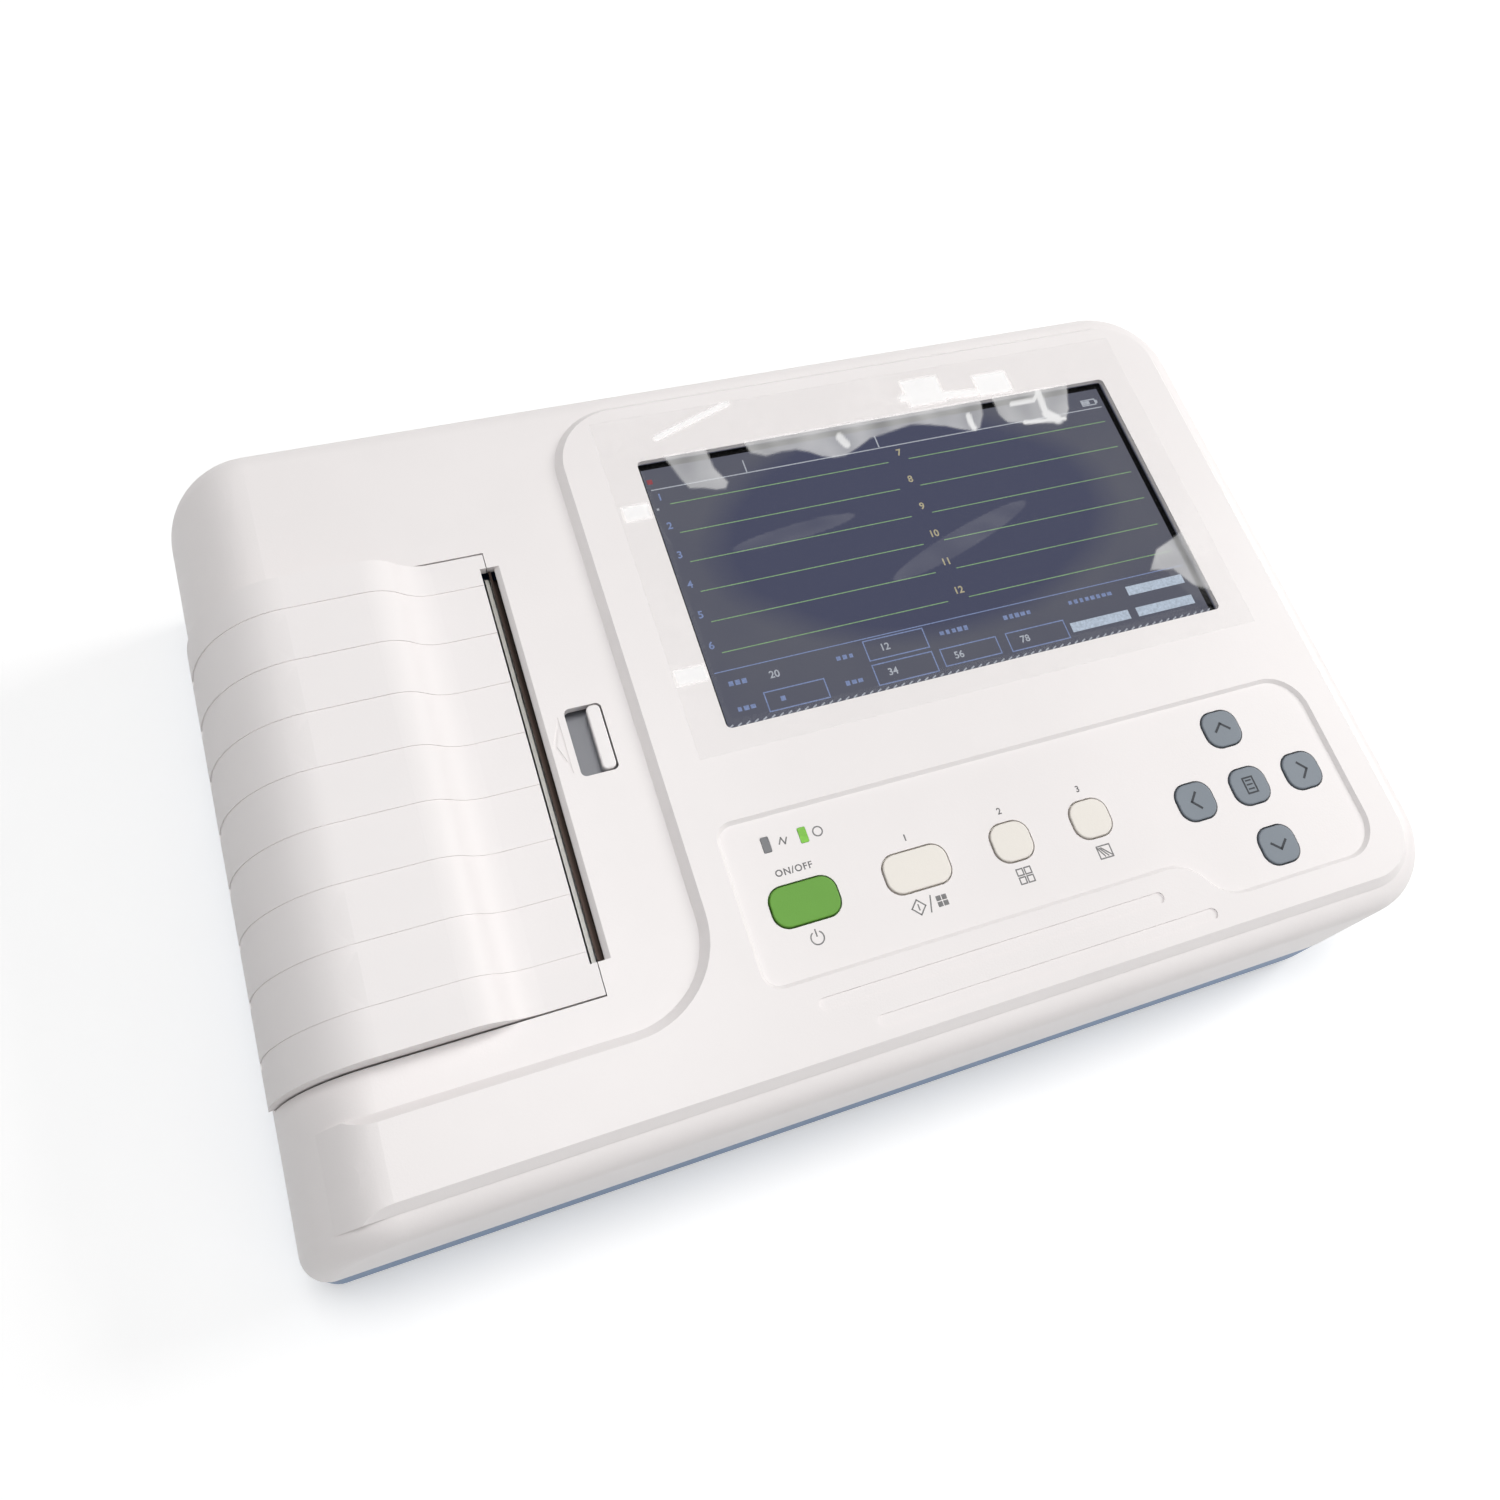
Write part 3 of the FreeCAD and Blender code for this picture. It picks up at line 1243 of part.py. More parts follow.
# Display stack
glass = slab(glass_u0, glass_u1, glass_v0, glass_v1, glass_top - glass_thick, glass_top, 1)
write("display_window", deck(glass))
gasket = box(glass_u0, glass_u1, glass_v0, glass_v1, glass_top, glass_top + gasket_thick)
gasket_hole = box(window_left - gasket_reveal, window_right + gasket_reveal, window_front - gasket_reveal,
                  window_back + gasket_reveal, glass_top - 1, glass_top + 1)
write("display_gasket", deck(gasket.cut(gasket_hole)))
panel = box(window_left - panel_margin, window_right + panel_margin, window_front - panel_margin,
            window_back + panel_margin, panel_low, panel_top)
write("display_panel", deck(panel))
bracket_low = panel_low - bracket_thick
bracket = slab(display_places[0][0] - 5, display_places[-1][0] + 5, display_places[0][1] - 6,
               display_places[-1][1] + 6, bracket_low, panel_low, 3)
bracket_holes = [post(u, v, bracket_low - 1, panel_low + 1, board_clear) for u, v in display_places]
bracket_holes.append(slab(window_left + 30, window_right - 30, window_front + 26, window_back - 26,
                          bracket_low - 1, panel_low + 1, 6))
write("display_bracket", deck(cut(bracket, *bracket_holes)))
film_w = pod_step + 0.05
film = slab(film_left, film_left + film_width, film_front, film_front + film_depth,
            film_w, film_w + film_thick, 2)
write("protective_film", deck(film))

# Keys and their board
for name, u, v, size in keys:
    write(name, deck(make_key(u, v, size)))
for name, u in lamps:
    write(name, deck(make_lamp(u)))
pad_top = key_seat - key_flange - key_travel - swing_gap
mat = slab(recess_left + 1.5, recess_right - 6, recess_front + 1.1, recess_back - 2.2, board_top, mat_top, 3)
pads = [key_slab(u, v, size, -2, mat_top - 0.5, pad_top) for name, u, v, size in keys]
mat_holes = [post(u, v, board_top - 1, pod_under, boss_radius + seat_fit) for u, v in key_places]
mat_holes += [lamp_slab(u, 0.4, board_top - 1, pod_under) for name, u in lamps]
write("keypad_mat", deck(cut(fuse(mat, *pads), *mat_holes)))
board_low = board_top - board_thick
key_board = slab(recess_left - 0.5, recess_right - 5.2, recess_front - 0.4, recess_back - 0.7,
                 board_low, board_top, 3)
key_board_holes = [post(u, v, board_low - 1, board_top + 1, board_clear) for u, v in key_places]
write("key_board", deck(cut(key_board, *key_board_holes)))

# Small screws of the boards and the display bracket
board_screws = []
for board in (main_board, supply_board):
    for x, y in board_screw_places(board):
        board_screws.append(make_screw(x, y, board[4] + board_thick, -1, board_screw, board_screw_length))
for u, v in display_places:
    board_screws.append(deck(make_screw(u, v, bracket_low, 1, board_screw, board_screw_length)))
for u, v in key_places:
    board_screws.append(deck(make_screw(u, v, board_low, 1, board_screw, board_screw_length)))
write("board_screws", *board_screws)

# Printer
write("printer_chassis", deck(make_chassis()))
chassis_top = chassis_floor + chassis_wall
chassis_screws = []
for u, v in chassis_screw_places():
    chassis_screws.append(deck(make_screw(u, v, chassis_top, -1, chassis_screw, chassis_wall + 3)))
write("chassis_screws", *chassis_screws)
head_v0 = slot_front + 0.7
head_v1 = slot_back - 0.7
write("print_head", deck(box(head_u, sink_u, head_v0, head_v1, head_low, head_top)))
sink = box(sink_u, sink_back, head_v0, head_v1, sink_low, sink_top)
fin_count = int(paper_width / fin_pitch) - 1
fins = []
for i in range(fin_count):
    v = slot_front + (i + 1) * fin_pitch
    fins.append(box(sink_u + 1.5, sink_back + 1, v, v + 0.4 * fin_pitch, sink_low - 1, sink_top - 4))
write("head_heat_sink", deck(cut(sink, *fins)))
write("head_springs", *[deck(spring) for spring in make_head_springs()])
blade_u = sink_u + 0.2
blade_v0 = slot_front + 0.5
blade_v1 = slot_back - 0.5
blade = box(blade_u, blade_u + blade_thick, blade_v0, blade_v1, sink_top, -1.2)
blade_foot = box(blade_u, sink_back - 0.5, blade_v0, blade_v1, sink_top, sink_top + blade_thick)
write("tear_bar", deck(fuse(blade, blade_foot)))
write("feed_motor", deck(make_motor()))
motor_screws = []
for u, w in motor_screw_places():
    head = rod(u, w, rib_front - motor_screw[2], rib_front, motor_screw[1])
    motor_screws.append(deck(fuse(head, rod(u, w, rib_front - 0.5, rib_back + 3, motor_screw[0]))))
write("motor_screws", *motor_screws)
write("motor_shaft", deck(rod(pinion_u, pinion_w, gear_front - 0.3, rib_back + 9, motor_shaft_radius)))
pinion = gear(pinion_teeth, motor_shaft_radius + press_fit / 2, pinion_u, pinion_w, pinion_phase)
write("motor_pinion", deck(pinion))
write("idler_gear", deck(gear(idler_teeth, idler_pin_radius + run_fit, idler_u, idler_w, idler_phase)))
idler_pin = fuse(rod(idler_u, idler_w, gear_front - 0.3, rib_back, idler_pin_radius),
                 rod(idler_u, idler_w, gear_front - 0.9, gear_front - 0.3, idler_pin_radius + 0.9))
write("idler_pin", deck(idler_pin))
write("platen_gear", deck(gear(platen_teeth, shaft_radius + press_fit / 2, platen_u, platen_w, mesh_angle)))
write("platen_shaft", deck(rod(platen_u, platen_w, gear_front, ear_back + ear_thick, shaft_radius)))
write("platen_rubber", deck(ring(platen_u, platen_w, paper_front, paper_back, platen_radius,
                                 shaft_radius + press_fit / 2)))
bushes = []
for v0 in (ear_front, ear_back):
    bushes.append(deck(ring(platen_u, platen_w, v0, v0 + ear_thick, bush_radius, shaft_radius + run_fit)))
write("platen_bushes", *bushes)

# Paper
core_bore = spindle_radius + 0.05
core_radius = core_bore + core_wall
spindle = fuse(rod(roll_u, roll_w, wall_front + chassis_wall + 0.5, wall_back - 0.5, spindle_radius),
               rod(roll_u, roll_w, wall_front + 0.3, wall_end - 0.3, journal_radius))
write("paper_spindle", deck(spindle))
write("roll_core", deck(ring(roll_u, roll_w, paper_front, paper_back, core_radius, core_bore)))
write("paper_roll", deck(ring(roll_u, roll_w, paper_front, paper_back, roll_radius, core_radius + press_fit)))

# Door and latch
write("paper_door", deck(make_door()))
write("hinge_pin", deck(rod(hinge_u, hinge_w, door_front - pin_over, door_back + pin_over, pin_radius)))
write("latch_knob", deck(make_knob()))
write("latch_yoke", deck(make_yoke()))
write("latch_spring", deck(make_latch_spring()))
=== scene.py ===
import json
import math
import random

import bmesh
import bpy
from mathutils import Matrix, Vector, noise


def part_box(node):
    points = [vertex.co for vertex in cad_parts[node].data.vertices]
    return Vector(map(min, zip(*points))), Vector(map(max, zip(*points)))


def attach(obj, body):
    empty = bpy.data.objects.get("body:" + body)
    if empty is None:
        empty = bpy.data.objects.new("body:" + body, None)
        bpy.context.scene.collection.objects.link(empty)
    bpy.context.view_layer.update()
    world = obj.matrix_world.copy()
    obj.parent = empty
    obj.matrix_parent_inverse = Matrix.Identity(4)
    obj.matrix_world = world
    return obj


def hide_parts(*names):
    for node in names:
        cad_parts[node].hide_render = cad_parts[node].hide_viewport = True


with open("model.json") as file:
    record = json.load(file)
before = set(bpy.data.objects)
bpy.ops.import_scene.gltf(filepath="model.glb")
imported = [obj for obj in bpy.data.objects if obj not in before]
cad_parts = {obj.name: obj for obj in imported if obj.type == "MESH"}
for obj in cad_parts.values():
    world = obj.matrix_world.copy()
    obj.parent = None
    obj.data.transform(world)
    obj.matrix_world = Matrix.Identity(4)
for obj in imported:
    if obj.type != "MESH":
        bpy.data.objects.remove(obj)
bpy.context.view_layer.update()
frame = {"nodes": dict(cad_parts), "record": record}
nodes = frame["nodes"]
mm = 0.001
micron = 0.000001
deckPlan = {"height": 64.0, "tilt": 4.5, "shift": -1.8}  # millimetres and degrees; shift goes along the slope
deckMatrix = (Matrix.Translation((0, 0, deckPlan["height"] * mm))
              @ Matrix.Rotation(math.radians(deckPlan["tilt"]), 4, "X")
              @ Matrix.Translation((0, deckPlan["shift"] * mm, 0)))
deckInverse = deckMatrix.inverted()
print("frame loaded,", len(nodes), "nodes")


# Camera, lamps and floor

cameraView = {
    "place": (-0.09795, -0.13387, 0.32922),
    "right": (0.9382, -0.3223, 0.1262),
    "up": (0.2361, 0.8625, 0.4476),
    "lens": 27.47,
    "sensor": 36.0,
}


def makeCamera():
    lens = bpy.data.cameras.new("photoCamera")
    lens.lens = cameraView["lens"]
    lens.sensor_width = cameraView["sensor"]
    lens.clip_start = 0.01
    camera = bpy.data.objects.new("photoCamera", lens)
    right = Vector(cameraView["right"]).normalized()
    up = Vector(cameraView["up"]).normalized()
    turn = Matrix((right, up, right.cross(up))).transposed().to_4x4()
    camera.matrix_world = Matrix.Translation(cameraView["place"]) @ turn
    bpy.context.collection.objects.link(camera)
    bpy.context.scene.camera = camera


lampAim = (0, 0, 0.04)
lampSetup = {
    "keyLamp": {"place": (1.65, 0.2, 1.15), "size": 0.7, "power": 15.6, "colour": (1.0, 0.99, 0.975)},
    "topLamp": {"place": (-0.05, 0.1, 1.6), "size": 0.6, "power": 10.5, "colour": (1.0, 1.0, 1.0)},
    "fillLamp": {"place": (0.5, -1.1, 0.6), "size": 1.0, "power": 2.4, "colour": (1.0, 0.99, 0.99)},
}


def makeLamps():
    for name, lamp in lampSetup.items():
        light = bpy.data.lights.new(name, "AREA")
        light.size = lamp["size"]
        light.energy = lamp["power"]
        light.color = lamp["colour"]
        holder = bpy.data.objects.new(name, light)
        turn = (Vector(lampAim) - Vector(lamp["place"])).to_track_quat("-Z", "Y")
        holder.matrix_world = Matrix.Translation(lamp["place"]) @ turn.to_matrix().to_4x4()
        bpy.context.collection.objects.link(holder)


worldLook = {"ambient": 0.27, "backdrop": 1.0}


def makeWorld():
    world = bpy.data.worlds.new("studio")
    bpy.context.scene.world = world
    world.use_nodes = True
    tree = world.node_tree
    tree.nodes.clear()
    strength = rangeOn(tree, seenDirectly(tree), worldLook["ambient"], worldLook["backdrop"])
    light = tree.nodes.new("ShaderNodeBackground")
    light.inputs["Color"].default_value = (1, 1, 1, 1)
    tree.links.new(strength, light.inputs["Strength"])
    out = tree.nodes.new("ShaderNodeOutputWorld")
    tree.links.new(light.outputs[0], out.inputs["Surface"])


floorLook = {"colour": (0.80, 0.80, 0.80), "lift": 0.38, "fade": (0.4, 1.8), "grain": 40, "size": 6}


def makeFloor():
    bm = bmesh.new()
    bmesh.ops.create_grid(bm, x_segments=1, y_segments=1, size=floorLook["size"])
    mesh = bpy.data.meshes.new("studioFloor")
    bm.to_mesh(mesh)
    bm.free()
    floor = bpy.data.objects.new("studioFloor", mesh)
    bpy.context.collection.objects.link(floor)
    material, tree, shader = startMaterial("paleFloor")
    point = objectPoint(tree)
    stops = [(0.3, shade(floorLook["colour"], 0.99)), (0.7, floorLook["colour"])]
    tree.links.new(rampOn(tree, noiseOn(tree, point, floorLook["grain"]), stops), shader.inputs["Base Color"])
    shader.inputs["Roughness"].default_value = 1.0
    shader.inputs["Specular IOR Level"].default_value = 0.0
    shader.inputs["Emission Color"].default_value = (1, 1, 1, 1)
    glow = rangeOn(tree, lengthOn(tree, point), floorLook["lift"], 1.0, *floorLook["fade"])
    tree.links.new(mathOn(tree, "MULTIPLY", seenDirectly(tree), glow), shader.inputs["Emission Strength"])
    floor.data.materials.append(material)


# Node helpers

def startMaterial(name):
    material = bpy.data.materials.new(name)
    material.use_nodes = True
    tree = material.node_tree
    return material, tree, tree.nodes["Principled BSDF"]


def objectPoint(tree, stretch=(1, 1, 1)):
    place = tree.nodes.new("ShaderNodeTexCoord")
    mapping = tree.nodes.new("ShaderNodeMapping")
    mapping.inputs["Scale"].default_value = stretch
    tree.links.new(place.outputs["Object"], mapping.inputs["Vector"])
    return mapping.outputs[0]


def deckPoint(tree, middle, reach=(1, 1, 1)):
    # place measured from a middle, along and square to the sloping deck
    place = tree.nodes.new("ShaderNodeTexCoord")
    mapping = tree.nodes.new("ShaderNodeMapping")
    mapping.vector_type = "TEXTURE"
    mapping.inputs["Location"].default_value = middle
    mapping.inputs["Rotation"].default_value = (math.radians(deckPlan["tilt"]), 0, 0)
    mapping.inputs["Scale"].default_value = reach
    tree.links.new(place.outputs["Object"], mapping.inputs["Vector"])
    return mapping.outputs[0]


def mathOn(tree, operation, *values):
    # each value is a number or another node's output
    node = tree.nodes.new("ShaderNodeMath")
    node.operation = operation
    for socket, value in zip(node.inputs, values):
        if isinstance(value, bpy.types.NodeSocket):
            tree.links.new(value, socket)
        else:
            socket.default_value = value
    return node.outputs[0]


def lengthOn(tree, point):
    node = tree.nodes.new("ShaderNodeVectorMath")
    node.operation = "LENGTH"
    tree.links.new(point, node.inputs[0])
    return node.outputs["Value"]


def seenDirectly(tree):
    # 1 for what the camera sees, also by way of a mirror or a clear pane
    path = tree.nodes.new("ShaderNodeLightPath")
    seen = path.outputs["Is Camera Ray"]
    for name in ("Is Glossy Ray", "Is Transmission Ray"):
        seen = mathOn(tree, "MAXIMUM", seen, path.outputs[name])
    return seen


def noiseOn(tree, point, scale, detail=3.0, roughness=0.55):
    node = tree.nodes.new("ShaderNodeTexNoise")
    node.inputs["Scale"].default_value = scale
    node.inputs["Detail"].default_value = detail
    node.inputs["Roughness"].default_value = roughness
    tree.links.new(point, node.inputs["Vector"])
    return node.outputs[0]


def rampOn(tree, value, stops):
    node = tree.nodes.new("ShaderNodeValToRGB")
    ramp = node.color_ramp
    while len(ramp.elements) < len(stops):
        ramp.elements.new(0.5)
    for element, (place, colour) in zip(ramp.elements, stops):
        element.position = place
        element.color = (*colour, 1)
    tree.links.new(value, node.inputs[0])
    return node.outputs[0]


def rangeOn(tree, value, low, high, fromLow=0.0, fromHigh=1.0):
    node = tree.nodes.new("ShaderNodeMapRange")
    node.inputs["From Min"].default_value = fromLow
    node.inputs["From Max"].default_value = fromHigh
    node.inputs["To Min"].default_value = low
    node.inputs["To Max"].default_value = high
    tree.links.new(value, node.inputs["Value"])
    return node.outputs[0]


def bumpOn(tree, shader, height, distance, strength=1.0):
    node = tree.nodes.new("ShaderNodeBump")
    node.inputs["Strength"].default_value = strength
    node.inputs["Distance"].default_value = distance
    tree.links.new(height, node.inputs["Height"])
    tree.links.new(node.outputs[0], shader.inputs["Normal"])


def shade(colour, by):
    return tuple(min(1.0, c * by) for c in colour)


# Finishes

plasticLooks = {  # colour, roughness, fineness of the grain, its height in microns, drift of the colour
    "case_white": ((0.865, 0.83, 0.825), 0.42, 1900, 20, 0.015),
    "door_white": ((0.865, 0.832, 0.828), 0.5, 1500, 12, 0.01),
    "tray_blue": ((0.105, 0.20, 0.36), 0.45, 1700, 30, 0.06),
    "key_green": ((0.125, 0.34, 0.035), 0.6, 2400, 20, 0.06),
    "key_pale": ((0.84, 0.80, 0.74), 0.5, 2400, 20, 0.02),
    "key_slate": ((0.185, 0.215, 0.25), 0.5, 2400, 20, 0.08),
    "black_plastic": ((0.022, 0.022, 0.024), 0.5, 1600, 30, 0.2),
    "gear_nylon": ((0.80, 0.78, 0.72), 0.4, 900, 10, 0.03),
    "battery_wrap": ((0.06, 0.10, 0.28), 0.25, 300, 50, 0.15),
    "rubber_dark": ((0.025, 0.025, 0.026), 0.75, 1400, 50, 0.25),
    "mat_grey": ((0.12, 0.125, 0.13), 0.65, 1100, 30, 0.08),
    "head_ceramic": ((0.74, 0.72, 0.66), 0.3, 700, 10, 0.05),
    "lens_grey": ((0.15, 0.155, 0.165), 0.25, 1200, 10, 0.15),
}
plasticCloud = {"blotch": 22, "gloss": 260, "swing": 0.02}


def mouldedPlastic(name, look):
    # soft blotches in the colour, uneven gloss and a fine spark-eroded grain
    colour, rough, grain, lift, drift = look
    swing = plasticCloud["swing"]
    material, tree, shader = startMaterial(name)
    point = objectPoint(tree)
    blotch = noiseOn(tree, point, plasticCloud["blotch"], 4)
    stops = [(0.3, shade(colour, 1 - drift)), (0.7, shade(colour, 1 + drift))]
    tree.links.new(rampOn(tree, blotch, stops), shader.inputs["Base Color"])
    gloss = noiseOn(tree, point, plasticCloud["gloss"], 2)
    tree.links.new(rangeOn(tree, gloss, rough - swing, rough + swing), shader.inputs["Roughness"])
    bumpOn(tree, shader, noiseOn(tree, point, grain, 2), lift * micron)
    return material


metalLooks = {
    "steel": {"colour": (0.58, 0.57, 0.55), "rough": 0.28, "stretch": (1, 40, 40)},
    "aluminium": {"colour": (0.72, 0.72, 0.73), "rough": 0.35, "stretch": (30, 1, 30)},
    "brass": {"colour": (0.74, 0.57, 0.27), "rough": 0.25, "stretch": (30, 1, 30)},
    # near-black tear bar: painted shade of the paper slot over the bar's bronze tint
    "bar_bronze_shaded": {"colour": (0.028, 0.02, 0.017), "rough": 0.42, "stretch": (30, 1, 30)},
}
metalLine = {"fineness": 60, "rough": 0.65, "height": 10}


def drawnMetal(name, look):
    # fine drawing lines along the piece
    material, tree, shader = startMaterial(name)
    point = objectPoint(tree, look["stretch"])
    lines = noiseOn(tree, point, metalLine["fineness"], 4, metalLine["rough"])
    stops = [(0.3, shade(look["colour"], 0.88)), (0.7, shade(look["colour"], 1.06))]
    tree.links.new(rampOn(tree, lines, stops), shader.inputs["Base Color"])
    least, most = look["rough"] - 0.08, look["rough"] + 0.1
    tree.links.new(rangeOn(tree, lines, least, most), shader.inputs["Roughness"])
    shader.inputs["Metallic"].default_value = 1.0
    bumpOn(tree, shader, lines, metalLine["height"] * micron)
    return material


boardLook = {
    "mask": (0.02, 0.14, 0.055), "track": (0.05, 0.24, 0.10), "pitch": 420, "height": 30,
    "cloud": 150, "rough": (0.25, 0.4),
}


def circuitBoard(name):
    # solder mask over square-cornered tracks
    material, tree, shader = startMaterial(name)
    point = objectPoint(tree)
    cells = tree.nodes.new("ShaderNodeTexVoronoi")
    cells.distance = "CHEBYCHEV"
    cells.inputs["Scale"].default_value = boardLook["pitch"]
    tree.links.new(point, cells.inputs["Vector"])
    stops = [(0.35, boardLook["mask"]), (0.42, boardLook["track"])]
    tree.links.new(rampOn(tree, cells.outputs["Distance"], stops), shader.inputs["Base Color"])
    gloss = noiseOn(tree, point, boardLook["cloud"])
    tree.links.new(rangeOn(tree, gloss, *boardLook["rough"]), shader.inputs["Roughness"])
    bumpOn(tree, shader, cells.outputs["Distance"], boardLook["height"] * micron)
    return material


paperLook = {
    "colour": (0.86, 0.85, 0.83), "layer": 9000, "ring": 0.1, "fibre": 700, "rough": 0.75, "height": 30,
}


def woundPaper(name):
    # fibres over the fine rings that the wound layers leave on the roll's ends
    look = paperLook
    material, tree, shader = startMaterial(name)
    low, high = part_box("paper_roll")
    point = deckPoint(tree, [(a + b) / 2 for a, b in zip(low, high)])
    flat = tree.nodes.new("ShaderNodeVectorMath")
    flat.operation = "MULTIPLY"
    flat.inputs[1].default_value = (1, 0, 1)  # the roll's axis runs along y
    tree.links.new(point, flat.inputs[0])
    rings = mathOn(tree, "SINE", mathOn(tree, "MULTIPLY", lengthOn(tree, flat.outputs[0]), look["layer"]))
    fibre = noiseOn(tree, objectPoint(tree), look["fibre"], 4)
    mixed = mathOn(tree, "MULTIPLY_ADD", rings, look["ring"], fibre)
    stops = [(0.1, shade(look["colour"], 0.9)), (0.8, look["colour"])]
    tree.links.new(rampOn(tree, mixed, stops), shader.inputs["Base Color"])
    shader.inputs["Roughness"].default_value = look["rough"]
    bumpOn(tree, shader, mixed, look["height"] * micron)
    return material


cardLook = {
    "light": (0.50, 0.37, 0.23), "dark": (0.34, 0.24, 0.14), "rough": 0.85, "height": 40,
    "stretch": (1, 6, 1), "fibre": 300,
}


def rolledCard(name):
    material, tree, shader = startMaterial(name)
    # fibres drawn out across the roll
    fibre = noiseOn(tree, objectPoint(tree, cardLook["stretch"]), cardLook["fibre"], 5)
    stops = [(0.3, cardLook["dark"]), (0.65, cardLook["light"])]
    tree.links.new(rampOn(tree, fibre, stops), shader.inputs["Base Color"])
    shader.inputs["Roughness"].default_value = cardLook["rough"]
    bumpOn(tree, shader, fibre, cardLook["height"] * micron)
    return material


lampLook = {"colour": (0.17, 0.48, 0.03), "glow": 0.1, "rough": 0.4, "cloud": 600}


def litLens(name):
    # green lens that glows a little, unevenly
    material, tree, shader = startMaterial(name)
    colour = lampLook["colour"]
    cloud = noiseOn(tree, objectPoint(tree), lampLook["cloud"])
    stops = [(0.2, shade(colour, 0.8)), (0.8, shade(colour, 1.2))]
    tree.links.new(rampOn(tree, cloud, stops), shader.inputs["Base Color"])
    stops = [(0.2, shade(colour, 0.7)), (0.8, colour)]
    tree.links.new(rampOn(tree, cloud, stops), shader.inputs["Emission Color"])
    shader.inputs["Emission Strength"].default_value = lampLook["glow"]
    shader.inputs["Roughness"].default_value = lampLook["rough"]
    return material


glassLook = {"tint": 0.97, "rough": 0.03}
mirrorRise = 5.0  # how late the mirroring sets in as the view flattens


def facingMirror(tree):
    # share of light mirrored at a clear surface, the same from either side
    facing = tree.nodes.new("ShaderNodeLayerWeight")
    facing.inputs["Blend"].default_value = 0.5
    return mathOn(tree, "POWER", facing.outputs["Facing"], mirrorRise)


def mixOn(tree, share, first, second):
    mix = tree.nodes.new("ShaderNodeMixShader")
    tree.links.new(share, mix.inputs[0])
    tree.links.new(first, mix.inputs[1])
    tree.links.new(second, mix.inputs[2])
    return mix.outputs[0]


def startClear(name, look):
    # a see-through shader and a mirror, in place of the usual one
    material, tree, shader = startMaterial(name)
    tree.nodes.remove(shader)
    clear = tree.nodes.new("ShaderNodeBsdfTransparent")
    clear.inputs["Color"].default_value = (look["tint"], look["tint"], look["tint"], 1)
    mirror = tree.nodes.new("ShaderNodeBsdfGlossy")
    mirror.inputs["Roughness"].default_value = look["rough"]
    return material, tree, clear.outputs[0], mirror.outputs[0]


def clearGlass(name, look):
    material, tree, clear, mirror = startClear(name, look)
    surface = mixOn(tree, facingMirror(tree), clear, mirror)
    tree.links.new(surface, tree.nodes["Material Output"].inputs["Surface"])
    return material


# the floor colour is painted shade: the same white plastic, darkened deep in the pocket
knobShadeLook = {
    "top": (0.86, 0.83, 0.825), "floor": (0.23, 0.235, 0.26), "rough": 0.35, "fade": (-2.6, 0.1),
    "grain": 1800, "height": 10,
}


def knobWithPaintedShade(name):
    # white thumb piece and its slide, greyed with depth below the deck: painted shade at the bottom of its
    # pocket
    look = knobShadeLook
    material, tree, shader = startMaterial(name)
    split = tree.nodes.new("ShaderNodeSeparateXYZ")
    tree.links.new(deckPoint(tree, deckMatrix.translation), split.inputs[0])
    low, high = (height * mm for height in look["fade"])
    rise = rangeOn(tree, split.outputs["Z"], 0.0, 1.0, low, high)
    stops = [(0.0, look["floor"]), (1.0, look["top"])]
    tree.links.new(rampOn(tree, rise, stops), shader.inputs["Base Color"])
    grain = noiseOn(tree, objectPoint(tree), look["grain"], 2)
    least, most = look["rough"] - 0.03, look["rough"] + 0.05
    tree.links.new(rangeOn(tree, grain, least, most), shader.inputs["Roughness"])
    bumpOn(tree, shader, grain, look["height"] * micron)
    return material


# the grey towards the edges and a lift of the glow are painted reflection of the room on the glass
screenLook = {
    "deep": (0.068, 0.074, 0.124), "reflectedGrey": (0.112, 0.116, 0.146), "glow": 1.04,
    "middle": (50.0, 42.0), "reach": (68.0, 40.0), "cloud": 30, "waver": 0.15,
}


def screenGroundAndReflection(name):
    # dim liquid crystal glowing blue in the middle; the greyer edges and part of the glow are painted
    # reflection
    look = screenLook
    material, tree, shader = startMaterial(name)
    middle = deckMatrix @ Vector((*(mm * part for part in look["middle"]), 0))
    ball = tree.nodes.new("ShaderNodeTexGradient")
    ball.gradient_type = "SPHERICAL"
    point = deckPoint(tree, middle, (*(mm * part for part in look["reach"]), 1))
    tree.links.new(point, ball.inputs["Vector"])
    cloud = noiseOn(tree, objectPoint(tree), look["cloud"], 2)
    blend = mathOn(tree, "MULTIPLY_ADD", cloud, look["waver"], ball.outputs[0])
    tree.links.new(rampOn(tree, blend, [(0.06, look["reflectedGrey"]), (0.24, look["deep"])]),
                   shader.inputs["Emission Color"])
    shader.inputs["Emission Strength"].default_value = look["glow"]
    shader.inputs["Base Color"].default_value = (0.01, 0.01, 0.012, 1)
    shader.inputs["Roughness"].default_value = 0.5
    shader.inputs["Specular IOR Level"].default_value = 0.0
    return material


def makeFinishes():
    finishes = {name: mouldedPlastic(name, look) for name, look in plasticLooks.items()}
    for name, look in metalLooks.items():
        finishes[name] = drawnMetal(name, look)
    finishes["board_green"] = circuitBoard("board_green")
    finishes["paper_white"] = woundPaper("paper_white")
    finishes["core_card"] = rolledCard("core_card")
    finishes["lens_green"] = litLens("lens_green")
    finishes["knob_white"] = knobWithPaintedShade("knob_white")
    finishes["panel_dark"] = screenGroundAndReflection("panel_dark")
    finishes["screen_glass"] = clearGlass("screen_glass", glassLook)
    return finishes


ownFinish = {"tear_bar": "bar_bronze_shaded"}  # nodes whose finish isn't their slot's


